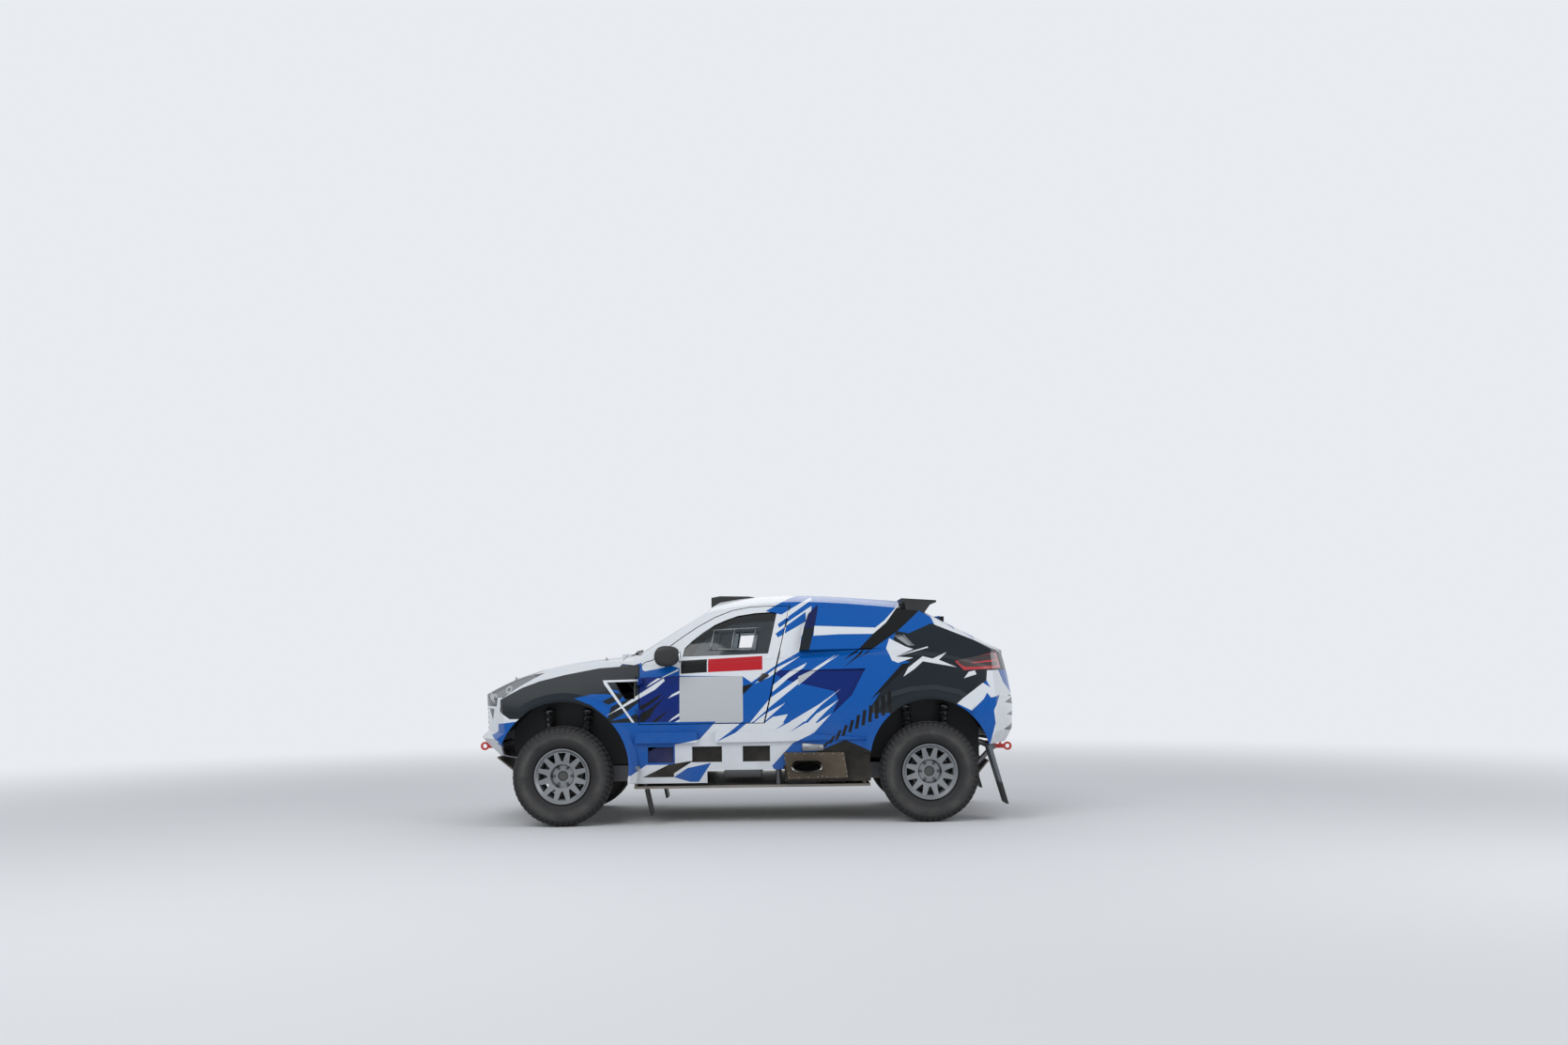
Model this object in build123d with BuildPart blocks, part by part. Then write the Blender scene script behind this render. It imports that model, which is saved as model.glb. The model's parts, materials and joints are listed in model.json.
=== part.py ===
"""Rally raid car: a coupe-bodied cross-country racer on a sheet-and-tube frame, as separate pieces.

Millimetres. X points forward, Y to the car's left and Z up. The origin is on the ground, midway
between the axles and on the centre plane. The hull is a loft of cross-sections, trimmed by a turned
nose and tail; the cabin is a second loft, trimmed by a raked windscreen and a raked hatch. Panels
are cut out of the shell between the outer and the inner skin, so neighbours share one surface.
"""

import os
from collections import namedtuple

from build123d import *

# Wheels and stance
WHEELBASE = 2950
AXLE_X = WHEELBASE / 2
TYRE_RADIUS = 399
TYRE_WIDTH = 245
TRACK = 1680
WHEEL_Y = TRACK / 2
WHEEL_Z = TYRE_RADIUS
RIM_FLANGE = 221
RIM_SEAT = 203
RIM_WIDTH = 212
BARREL_WALL = 9
FLANGE_STEP = 14
BEAD_GAP = 0.3
SIDEWALL_RADIUS = 311
SHOULDER = 48
TREAD_BLOCKS = 24
TREAD_PITCH = 360 / TREAD_BLOCKS
NOTCH_START = TREAD_PITCH / 2
NOTCH_WIDE = 30
NOTCH_DEEP = 13
SPOKES = 12
SPOKE_GAP = (7, 33)
BARREL_DROP = 32
SPOKE_FOOT = 28
SPOKE_HEAD = 14
RIM_FACE = 13
FACE_DISC = 14
BOWL_RADIUS = 92
BOLT_CIRCLE = 139.7
BOLT_COUNT = 6
BOLT_RADIUS = 7.5
STUD_RADIUS = 7
NUT_RADIUS = 12
HUB_BORE = 42
SPINDLE_RADIUS = 32
RUNNING_GAP = 0.05
HUB_RADIUS = 88
DISC_RADIUS = 140
CALIPER_RADIUS = 158
CALIPER_ARC = 56
PAD_GAP = 5
DISC_THICK = 30
DISC_OFFSET = -40
KINGPIN_Y = 735

# Body
WALL = 30
SHUT_GAP = 6
SEAM = 0.3
GLASS = 6
GLASS_INSET = 8
PANE_GAP = 0.3
SILL_TOP = 800
SILL_FRONT = 1100
SILL_BACK = -1120
FENDER_BACK = 861
COWL_X = 1005
BONNET_HALF = 700
BUMPER_SEAM = 1985
BUMPER_TOP = 1030
GRILLE_HALF = 430
GRILLE_SPAN = (780, 950)
GRILLE_SLATS = (815, 852, 889, 926)
INTAKE_HALF = 220
INTAKE_SPAN = (590, 660)
NOSE_X = 2265
TAIL_X = -2265
NOSE_SWEEP = 1700
TAIL_SWEEP = 1900
ARCH_FRONT = (1470, 460)
ARCH_FRONT_RADIUS = 535
ARCH_REAR = (-1483, 490)
ARCH_REAR_RADIUS = 488
FLARE_Y = 985
FLARE_BAND = 70
FLARE_START = 56
REAR_FLARE = (8, 122)
LINER_GAP = 25
LINER_WALL = 6
LINER_REACH = 845
LEDGE_Y = (905, 958)
LEDGE_Z = (655, 740)
POCKETS = ((581, 787), (191, 433), (-195, 26))
POCKET_Z = (495, 622)
POCKET_FLOOR = 898
SKIRT_RAISED = (-310, 312)
SKIRT_RAISED_Z = 432
OUTLET = (-489, 451)
OUTLET_LONG = 244
OUTLET_TALL = 96
GUARD_Y = (880, 948)
MIRROR_Y = (905, 1040)
MIRROR_ROUND = 20
MIRROR_STALK = ((640, 820, 1262), (640, 960, 1300))
STALK_RADIUS = 15
SLAT_TALL = 12
SLOT_GAP = 5
TAILGATE_X = -1640
TAILGATE_HALF = 560
TAIL_TOP = 985

# Frame
FLOOR_Z = 285
FLOOR_THICK = 20
FLOOR_TOP = FLOOR_Z + FLOOR_THICK
FLOOR_HALF = 845
FLOOR_FRONT = 905
FLOOR_BACK = -1000
BACK_WALL = -965
BULKHEAD = 20
BULKHEAD_HALF = 815
BULKHEAD_TOP = 1225
RAIL_HALF = 460
RAIL_WIDTH = 60
RAIL_Z = 330
RAIL_TALL = 120
CAGE_RADIUS = 22.5
BEND_SWELL = 0.5
ARM_RADIUS = 16
BUSH_RADIUS = 18
BUSH_LENGTH = 44
ARM_SPREAD = (230, 100)
BALL_DROP = 118
BALL_RISE = 150
TOW_Y = 300
TOW_THICK = 16
TOW_BORE = 18
TOW_RADIUS = 35
TOW_FRONT = (2213, 619)
TOW_REAR = (-2190, 562)
BAR_X = 2050
BAR_RADIUS = 25
STRUT_RADIUS = 21
STRUT_SPREAD = 100
POST_Z = (700, 400)
FOOT_LONG = 40
FOOT_THICK = 14
MAIN_HOOP_X = -260
CAGE_HALF = 640
CAGE_TOP = 1690
CAGE_LEG_X = 820
CAGE_LEG_OUT = 120
CAGE_LEAN = 70
CAGE_KNEE = 500
HEADER_X = 250
HEADER_DROP = 35
STAY_FOOT = (-900, 1215)
ENGINE_X = (960, 1640)
ENGINE_HALF = 260
ENGINE_TOP = 1040
SKID_THICK = 10
SHAFT_RADIUS = 22
DAMPER_FOOT = (118, 596)
DAMPER_HEAD = (160, 545)
DAMPER_SEAT = 2.6
DAMPER_RADIUS = 24
SPRING_RADIUS = 44
SPRING_SPAN = (190, 640)
JACK_RADIUS = 45
JACK_TALL = 10
JACK_POINTS = ((650, 560), (650, -560), (-750, 560), (-750, -560))
STRUT_TOP = 935

SWING_Y = 860
DUCT_DEEP = 16
SCOOP_DEEP = 1.7
SCOOP_PROUD = 4.6

# Hinges
HINGE_X = 858
HINGE_Y = 952
HINGE_RADIUS = 9
HINGE_TALL = 46
HINGE_EAR = 12
PIN_RADIUS = 5
HINGE_LEVELS = (880, 1130)
BONNET_AXIS = (1008, 1367)
BONNET_HINGE_Y = 260
TAILGATE_AXIS = (-1643, 1656)
TAILGATE_HINGE_Y = 180

# Inside
SEAT_Y = 370
SEAT_HALF = 225
BOLSTER = 30
DASH_HALF = 700
COLUMN_RADIUS = 26
COLUMN_SPAN = (60, 460)
SHAFT_REACH = 300
STEERING_SHAFT = 11
RING_RADIUS = 165
RING_BAR = 15
RING_SPOKE = 30
RING_PLATE = 12
POST_X = 840
POST_RADIUS = 25
POST_TOP = 800
COLUMN_TILT = 22
WHEEL_HUB = (330, SEAT_Y, 1010)
RAIL_UPPER = 860
RAIL_FRONT = 1850
RAIL_BACK = -1895
CROSS_BARS = ((1180, False), (RAIL_FRONT - RAIL_WIDTH, True), (-1240, True), (RAIL_BACK, True))

# Hull sections: x; bottom half width; bulge y, z; shoulder y, z; crease y, z; crown z
HullRow = namedtuple("HullRow", "x foot bulge_y bulge_z side_y side_z edge_y edge_z crown")
HULL_BOTTOM = 330
HULL = [
    HullRow(2330, 700, 800, 700, 770, 830, 560, 930, 975),
    HullRow(2050, 800, 893, 730, 866, 965, 650, 1098, 1136),
    HullRow(1750, 860, 930, 760, 852, 1125, 700, 1212, 1246),
    HullRow(1300, 880, 945, 800, 846, 1240, 740, 1292, 1332),
    HullRow(700, 880, 927, 850, 862, 1275, 765, 1322, 1375),
    HullRow(-300, 890, 932, 880, 880, 1310, 785, 1352, 1400),
    HullRow(-1100, 890, 948, 900, 888, 1335, 780, 1400, 1420),
    HullRow(-1700, 880, 945, 850, 868, 1290, 745, 1380, 1400),
    HullRow(-2330, 760, 845, 800, 780, 1150, 600, 1290, 1320),
]

# Cabin sections: x; side foot y; mid y, z; roof edge y, z; crown z
CabinRow = namedtuple("CabinRow", "x foot mid_y mid_z edge_y edge_z crown")
CABIN_BOTTOM = 1150
CABIN = [
    CabinRow(1200, 868, 790, 1350, 640, 1480, 1560),
    CabinRow(300, 872, 765, 1480, 612, 1710, 1800),
    CabinRow(-350, 880, 760, 1520, 605, 1785, 1862),
    CabinRow(-1000, 885, 750, 1530, 590, 1752, 1828),
    CabinRow(-1600, 880, 745, 1500, 600, 1690, 1778),
    CabinRow(-2330, 850, 730, 1400, 600, 1560, 1640),
]
SCREEN_BASE = (1000, 1342)
SCREEN_TOP = (311, 1758)
SCREEN_SAG = 230
HATCH_BASE = (-2130, 1390)
HATCH_TOP = (-1500, 1715)
HATCH_SAG = 260
PLAN_HALF = 1000
SLIDE = 500

# Side outlines, (x, z)
NOSE = [(2190, 2000), (2225, 1050), (2212, 749), (NOSE_X, 700), (2205, 630), (2118, 550), (1960, 520),
        (1960, 300)]
TAIL = [(-2165, 2000), (-2187, 1330), (-2225, 1173), (-2258, 985), (TAIL_X, 903), (-2256, 714),
        (-2204, 613), (-2139, 597), (-1900, 597), (-1900, 300)]
DOOR = [(855, SILL_TOP + SHUT_GAP), (855, 1260), (809, 1300), (754, 1313), (693, 1368), (581, 1449),
        (507, 1503), (385, 1585), (245, 1662), (106, 1716), (-34, 1742), (-174, 1749), (-360, 1749),
        (-338, 1635), (-292, 1442), (-245, 1250), (-204, 1052), (-146, SILL_TOP + SHUT_GAP)]
APERTURE = [(FENDER_BACK, 700), (FENDER_BACK, 1262), (812, 1306), (757, 1319), (697, 1374),
            (585, 1455), (511, 1509), (388, 1591), (248, 1668), (108, 1722), (-33, 1748),
            (-174, 1755), (-373, 1755), (-350, 1634), (-304, 1441), (-257, 1249), (-216, 1051),
            (-158, 806), (-158, 700)]
WINDOW = [(508, 1342), (493, 1411), (433, 1470), (340, 1543), (246, 1602), (152, 1642), (59, 1674),
          (-81, 1695), (-221, 1702), (-262, 1693), (-247, 1632), (-218, 1493), (-188, 1360),
          (155, 1350)]
TAIL_LAMP = [(-1700, 1278), (-2016, 1343), (-2300, 1343), (-2300, 1218), (-2107, 1218),
             (-1771, 1204)]
SIDE_SCOOP = [(-190, 1216), (-974, 1228), (-857, 1019), (-700, 873), (-752, 985), (-721, 1054),
              (-314, 1154)]
QUARTER_SCOOP = [(-436, 1383), (-469, 1563), (-542, 1685), (-600, 1742), (-828, 1730), (-1004, 1692),
                 (-1136, 1628), (-1147, 1394)]
FENDER_VENT = [(1052, 1144), (890, 1142), (890, 1008), (972, 1008)]
SHOULDER_DUCT = [(-1213, 1484), (-1294, 1501), (-1376, 1413), (-1336, 1406)]
HATCH_PANE = [(75, 1535), (-79, 1542), (-54, 1412), (99, 1410)]
SLIDER = [(270, 1547), (-107, 1565), (-64, 1397), (317, 1395)]
SCREEN = [(868, -690), (930, -400), (974, 0), (930, 400), (868, 690), (300, 545), (318, 300),
          (330, 0), (318, -300), (300, -545)]
GUARD = [(-304, 566), (-788, 563), (-818, 360), (-335, 353)]
LEDGE_TAIL = [(242, LEDGE_Z[0]), (242, LEDGE_Z[1]), (-195, LEDGE_Z[1]), (-1000, 672), (-1000, 668),
              (-195, LEDGE_Z[0])]
LEDGE_NOSE = [(885, LEDGE_Z[0]), (389, LEDGE_Z[0]), (389, LEDGE_Z[1]), (885, LEDGE_Z[1])]
MIRROR = [(505, 1335), (535, 1420), (690, 1438), (742, 1372), (722, 1270), (565, 1258)]
FLAP_FRONT = [(812, FLOOR_Z - SEAM), (795, FLOOR_Z - SEAM), (750, 82), (767, 78)]
FLAP_REAR = [(-1945, 596.5), (-1975, 596.5), (-2099, 136), (-2078, 136)]
FLAP_Y = (690, 935)
ROOF_SCOOP = [(300, 1700), (300, 1847), (226, 1860), (-20, 1854), (-110, 1840), (-110, 1700)]
SCOOP_MOUTH = [(320, 1775), (320, 1835), (60, 1835), (60, 1775)]
SCOOP_HALF = 190
SCOOP_WALL = 20
BLADE = [(-1365, 1700), (-1300, 1805), (-1588, 1785), (-1588, 1768), (-1372, 1762)]
BLADE_HALF = 600
END_PLATE = [(-1332, 1700), (-1332, 1785), (-1565, 1780), (-1548, 1764), (-1485, 1679),
             (-1540, 1578)]
END_PLATE_Y = (585, 603)
SEAT_SIDE = [(210, FLOOR_TOP + SEAM), (230, 560), (180, 600), (-80, 520), (-180, 700),
             (-225, 1150), (-245, 1330), (-275, 1330), (-270, 1150), (-235, 560),
             (-120, 420), (-120, FLOOR_TOP + SEAM)]
SEAT_WING = [(230, 560), (200, 680), (-60, 700), (-110, 1000), (-80, 1120), (-120, 1200),
             (-170, 1330), (-245, 1330), (-200, 700), (-80, 520)]
DASH = [(870, 760), (870, 1120), (820, 1180), (640, 1165), (600, 1110), (640, 980), (760, 800)]
SKID_TOP = RAIL_Z - SEAM
SKID_FRONT = [(FLOOR_FRONT, SKID_TOP), (1850, SKID_TOP), (1962, 440), (2085, 534), (2085, 524),
              (1968, 430), (1856, SKID_TOP - SKID_THICK), (FLOOR_FRONT + 1, SKID_TOP - SKID_THICK)]
SKID_REAR = [(FLOOR_BACK - 1, SKID_TOP), (-1900, SKID_TOP), (-2010, 455), (-2016, 447),
             (-1905, SKID_TOP - SKID_THICK), (FLOOR_BACK - 1, SKID_TOP - SKID_THICK)]
HEADLAMP = [(2400, 560), (2000, 600), (1640, 738), (2020, 862), (2400, 1000)]


def side_prism(points, near, far, grow=0):
    """Outline in x and z, widened by grow and carried along y from near to far."""
    with BuildPart() as prism:
        with BuildSketch(Plane.XZ.offset(-near)):
            with BuildLine():
                Polyline(*points, close=True)
            make_face()
            if grow:
                offset(amount=grow, kind=Kind.INTERSECTION)
        extrude(amount=near - far)
    return prism.part


def plan_prism(points, low, high, grow=0):
    """Outline in x and y, widened by grow and carried along z from low to high."""
    with BuildPart() as prism:
        with BuildSketch(Plane.XY.offset(low)):
            with BuildLine():
                Polyline(*points, close=True)
            make_face()
            if grow:
                offset(amount=grow, kind=Kind.INTERSECTION)
        extrude(amount=high - low)
    return prism.part


def block(x, y, z):
    """Box given by its three spans."""
    with BuildPart() as box:
        with BuildSketch(Plane.XY.offset(z[0])):
            with Locations(((x[0] + x[1]) / 2, (y[0] + y[1]) / 2)):
                Rectangle(abs(x[1] - x[0]), abs(y[1] - y[0]))
        extrude(amount=z[1] - z[0])
    return box.part


def tube(points, radius):
    """Round bars along a path of points, with a ball at each bend."""
    with BuildPart() as bar:
        for start, end in zip(points, points[1:]):
            run = Vector(*end) - Vector(*start)
            with BuildSketch(Plane(origin=start, z_dir=run)):
                Circle(radius)
            extrude(amount=run.length)
        for point in points[1:-1]:
            with Locations(point):
                Sphere(radius + BEND_SWELL)
    return bar.part


def disc(x, z, radius, near, far):
    """Cylinder along y."""
    with BuildPart() as cylinder:
        with BuildSketch(Plane.XZ.offset(-near)):
            with Locations((x, z)):
                Circle(radius)
        extrude(amount=near - far)
    return cylinder.part


def turned(profile, x, z):
    """Turns (radius, y) points about an axis along y through x and z."""
    with BuildPart() as ring:
        with BuildSketch(Plane.XY):
            with BuildLine():
                Polyline(*profile, close=True)
            make_face()
        revolve(axis=Axis.Y)
    return Pos(x, 0, z) * ring.part


def common(whole, *tools):
    """What whole shares with every tool."""
    with BuildPart() as piece:
        add(whole)
        for tool in tools:
            add(tool, mode=Mode.INTERSECT)
    return piece.part


def less(whole, *tools):
    """What is left of whole without the tools."""
    with BuildPart() as piece:
        add(whole)
        for tool in tools:
            add(tool, mode=Mode.SUBTRACT)
    return piece.part


def joined(*parts):
    """One part from several."""
    with BuildPart() as piece:
        for part in parts:
            add(part)
    return piece.part


def flip(part):
    """The same on the car's other side."""
    return mirror(part, about=Plane.XZ)


def turned_end(profile, axis_x, inset):
    """Solid with an end turned about a vertical axis, drawn in by inset, and a long square back."""
    outward = 1 if profile[0][0] > axis_x else -1
    points = [(x - outward * inset, z) for x, z in profile]
    with BuildPart() as end:
        with BuildSketch(Plane.XZ):
            with BuildLine():
                Polyline((axis_x, profile[0][1]), *points, (axis_x, profile[-1][1]), close=True)
            make_face()
        revolve(axis=Axis((axis_x, 0, 0), (0, 0, 1)))
        add(block((axis_x, axis_x - outward * 4000), (-1200, 1200), (profile[-1][1], profile[0][1])))
    return end.part


def hull(inset):
    """Lofted lower body, drawn in by inset on every side."""
    low = HULL_BOTTOM - 2 * inset
    with BuildPart() as body:
        for row in HULL:
            foot = row.foot - inset
            bulge = (row.bulge_y - inset, row.bulge_z)
            side = (row.side_y - inset, row.side_z - inset * 0.4)
            edge = (row.edge_y - inset * 0.6, row.edge_z - inset)
            with BuildSketch(Plane.YZ.offset(row.x)):
                with BuildLine():
                    Line((-foot, low), (foot, low))
                    ThreePointArc((foot, low), bulge, side)
                    Line(side, edge)
                    ThreePointArc(edge, (0, row.crown - inset), (-edge[0], edge[1]))
                    Line((-edge[0], edge[1]), (-side[0], side[1]))
                    ThreePointArc((-side[0], side[1]), (-bulge[0], bulge[1]), (-foot, low))
                make_face()
        loft()
    return body.part


def raked(base, top, sag, outward, inset, depth):
    """Slab under a slope whose edge is an arc in plan, from inset below the slope to depth more."""
    run, rise = base[0] - top[0], top[1] - base[1]
    lean = (run**2 + rise**2) ** 0.5 / rise
    low = base[1] - SLIDE
    start = base[0] + run / rise * SLIDE - outward * inset * lean
    back = start - outward * depth * lean
    with BuildPart() as slab:
        with BuildSketch(Plane.XY.offset(low)):
            with BuildLine():
                ThreePointArc((start - outward * sag, -PLAN_HALF), (start, 0),
                              (start - outward * sag, PLAN_HALF))
                Line((start - outward * sag, PLAN_HALF), (back - outward * sag, PLAN_HALF))
                ThreePointArc((back - outward * sag, PLAN_HALF), (back, 0),
                              (back - outward * sag, -PLAN_HALF))
                Line((back - outward * sag, -PLAN_HALF), (start - outward * sag, -PLAN_HALF))
            make_face()
        extrude(amount=(rise + 2 * SLIDE) * lean, dir=(-run / rise, 0, 1))
    return slab.part


def cabin(inset):
    """Lofted greenhouse, trimmed by the windscreen's and the hatch's slopes."""
    with BuildPart() as house:
        for row in CABIN:
            foot = row.foot - inset
            mid = (row.mid_y - inset, row.mid_z - inset * 0.4)
            edge = (row.edge_y - inset * 0.8, row.edge_z - inset * 0.9)
            with BuildSketch(Plane.YZ.offset(row.x)):
                with BuildLine():
                    Line((-foot, CABIN_BOTTOM), (foot, CABIN_BOTTOM))
                    ThreePointArc((foot, CABIN_BOTTOM), mid, edge)
                    ThreePointArc(edge, (0, row.crown - inset), (-edge[0], edge[1]))
                    ThreePointArc((-edge[0], edge[1]), (-mid[0], mid[1]), (-foot, CABIN_BOTTOM))
                make_face()
        loft()
        add(raked(SCREEN_BASE, SCREEN_TOP, SCREEN_SAG, 1, inset, 3500), mode=Mode.INTERSECT)
        add(raked(HATCH_BASE, HATCH_TOP, HATCH_SAG, -1, inset, 3500), mode=Mode.INTERSECT)
    return house.part


def arch_cut(centre, radius, near, far):
    """Wheel opening: a round top with straight sides down to the ground."""
    x, z = centre
    with BuildPart() as cut:
        with BuildSketch(Plane.XZ.offset(-near)):
            with Locations((x, z)):
                Circle(radius)
            with Locations((x, z - 400)):
                Rectangle(2 * radius * 0.985, 800)
        extrude(amount=near - far)
    return cut.part


def flare(centre, radius, start, sweep):
    """Raised lip round an arch, from start degrees (0 is ahead of the wheel) through sweep degrees."""
    x, z = centre
    with BuildPart() as lip:
        with BuildSketch(Plane.XY):
            with BuildLine():
                Polyline((radius, FLARE_Y - 110), (radius, FLARE_Y), (radius + 22, FLARE_Y),
                         (radius + FLARE_BAND, FLARE_Y - 45), (radius + FLARE_BAND, FLARE_Y - 110),
                         close=True)
            make_face()
        revolve(axis=Axis.Y, revolution_arc=sweep)
    return Pos(x, 0, z) * Rot(0, -start - sweep, 0) * lip.part


def wheelhouse(centre, radius):
    """Liner over a wheel: an arched sheet with its inner wall."""
    x, z = centre
    outer = radius + LINER_GAP
    with BuildPart() as liner:
        with BuildSketch(Plane.XZ.offset(-RAIL_HALF - SEAM)):
            with Locations((x, z)):
                Circle(outer)
                Circle(outer - LINER_WALL, mode=Mode.SUBTRACT)
            with Locations((x, z - outer)):
                Rectangle(3 * outer, 2 * outer, mode=Mode.SUBTRACT)
        extrude(amount=-(LINER_REACH - RAIL_HALF - SEAM))
        with BuildSketch(Plane.XZ.offset(-RAIL_HALF - SEAM)):
            with Locations((x, z)):
                Circle(outer)
            with Locations((x, z - outer)):
                Rectangle(3 * outer, 2 * outer, mode=Mode.SUBTRACT)
        extrude(amount=-LINER_WALL)
        axle = AXLE_X if x > 0 else -AXLE_X
        with BuildSketch(Plane.XZ.offset(-RAIL_HALF)):
            with Locations((axle + ARM_SPREAD[1], arm_levels()[1]),
                           (axle - ARM_SPREAD[1], arm_levels()[1])):
                Rectangle(BUSH_LENGTH + 12, 2 * BUSH_RADIUS + 12)
        extrude(amount=-2 * LINER_WALL, mode=Mode.SUBTRACT)
    return liner.part


def wheel_rim():
    """Rim about the y axis, its bolting face at y = RIM_FACE, with spokes dished outwards."""
    half = RIM_WIDTH / 2
    well = RIM_SEAT - BARREL_DROP
    foot = BOWL_RADIUS + SPOKE_FOOT
    head = RIM_SEAT - SPOKE_HEAD
    with BuildPart() as rim:
        with BuildSketch(Plane.XY):
            with BuildLine():
                Polyline(
                    (RIM_FLANGE, -half), (RIM_FLANGE, -half + 10), (RIM_SEAT, -half + 14),
                    (RIM_SEAT, -half + 45), (well, -half + 70), (well, 10), (RIM_SEAT, 45),
                    (RIM_SEAT, half - 14), (RIM_FLANGE, half - 10), (RIM_FLANGE, half),
                    (RIM_FLANGE - 8, half), (RIM_SEAT - BARREL_WALL, half - 18),
                    (RIM_SEAT - BARREL_WALL, 50), (well - BARREL_WALL, 14),
                    (well - BARREL_WALL, -half + 72), (RIM_SEAT - BARREL_WALL, -half + 47),
                    (RIM_SEAT - BARREL_WALL, -half + 4), (RIM_FLANGE - 8, -half),
                    close=True,
                )
            make_face()
        revolve(axis=Axis.Y)
        with BuildSketch(Plane.XY):
            with BuildLine():
                Polyline(
                    (HUB_BORE, RIM_FACE), (BOWL_RADIUS, RIM_FACE), (BOWL_RADIUS + 14, 62),
                    (RIM_SEAT - 4, half - 30), (RIM_SEAT - 4, half - 16), (BOWL_RADIUS + 4, 78),
                    (BOWL_RADIUS - 10, RIM_FACE + FACE_DISC), (HUB_BORE, RIM_FACE + FACE_DISC),
                    close=True,
                )
            make_face()
        revolve(axis=Axis.Y)
        with BuildSketch(Plane.XZ.offset(-40)):
            with PolarLocations(0, SPOKES):
                Polygon((foot, -SPOKE_GAP[0]), (head, -SPOKE_GAP[1]), (head, SPOKE_GAP[1]),
                        (foot, SPOKE_GAP[0]), align=None)
        extrude(amount=-100, mode=Mode.SUBTRACT)
        with BuildSketch(Plane.XZ.offset(-RIM_FACE)):
            with PolarLocations(BOLT_CIRCLE / 2, BOLT_COUNT):
                Circle(BOLT_RADIUS)
        extrude(amount=-FACE_DISC, mode=Mode.SUBTRACT)
    return rim.part


def tyre_solid(stations):
    """Solid about the y axis whose many-sided sections are given by their flats' radius and y."""
    with BuildPart() as solid:
        for flat, y in stations:
            with BuildSketch(Plane.XZ.offset(-y)):
                RegularPolygon(flat, TREAD_BLOCKS, major_radius=False, rotation=TREAD_PITCH / 2)
        loft(ruled=True)
    return solid.part


def wheel_tyre():
    """Tyre about the y axis: many-sided, dished to the rim's flange, its shoulders notched."""
    half = TYRE_WIDTH / 2
    bead = RIM_WIDTH / 2 - FLANGE_STEP - BEAD_GAP
    side = [(SIDEWALL_RADIUS, half), (TYRE_RADIUS - 38, half - 3), (TYRE_RADIUS - 10, half - 18),
            (TYRE_RADIUS, half - SHOULDER)]
    crown = tyre_solid([(r, -y) for r, y in side] + [(r, y) for r, y in reversed(side)])
    dish = tyre_solid([(RIM_FLANGE + FLANGE_STEP / 2, bead), (SIDEWALL_RADIUS + 1, half + 0.4)])
    seat = tyre_solid([(RIM_SEAT + BEAD_GAP, -half), (RIM_SEAT + BEAD_GAP, half)])
    with BuildPart() as notches:
        with BuildSketch(Plane.XZ.offset(-half - 1)):
            with PolarLocations(TYRE_RADIUS - NOTCH_DEEP + 20, TREAD_BLOCKS, start_angle=NOTCH_START):
                Rectangle(40, NOTCH_WIDE)
        extrude(amount=SHOULDER + 1)
    return less(crown, seat, dish, flip(dish), notches.part, flip(notches.part))


def wheel_hub():
    """Brake disc and hub about the y axis, with a bore that runs on the spindle."""
    inner = DISC_OFFSET - DISC_THICK / 2
    with BuildPart() as hub:
        with BuildSketch(Plane.XY):
            with BuildLine():
                Polyline(
                    (SPINDLE_RADIUS + RUNNING_GAP, inner), (DISC_RADIUS, inner),
                    (DISC_RADIUS, inner + DISC_THICK), (HUB_RADIUS - 8, inner + DISC_THICK),
                    (HUB_RADIUS - 8, RIM_FACE - SEAM), (SPINDLE_RADIUS + RUNNING_GAP, RIM_FACE - SEAM),
                    close=True,
                )
            make_face()
        revolve(axis=Axis.Y)
        with BuildSketch(Plane.XZ.offset(-RIM_FACE + SEAM)):
            with PolarLocations(BOLT_CIRCLE / 2, BOLT_COUNT):
                Circle(STUD_RADIUS)
        extrude(amount=-(FACE_DISC + 22))
    return hub.part


def wheel_nuts():
    """Hexagonal nuts about the y axis, seated on the rim's face."""
    with BuildPart() as nuts:
        with BuildSketch(Plane.XZ.offset(-RIM_FACE - FACE_DISC - SEAM)):
            with PolarLocations(BOLT_CIRCLE / 2, BOLT_COUNT):
                RegularPolygon(NUT_RADIUS, 6)
                Circle(STUD_RADIUS + RUNNING_GAP, mode=Mode.SUBTRACT)
        extrude(amount=-18)
    return nuts.part


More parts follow.
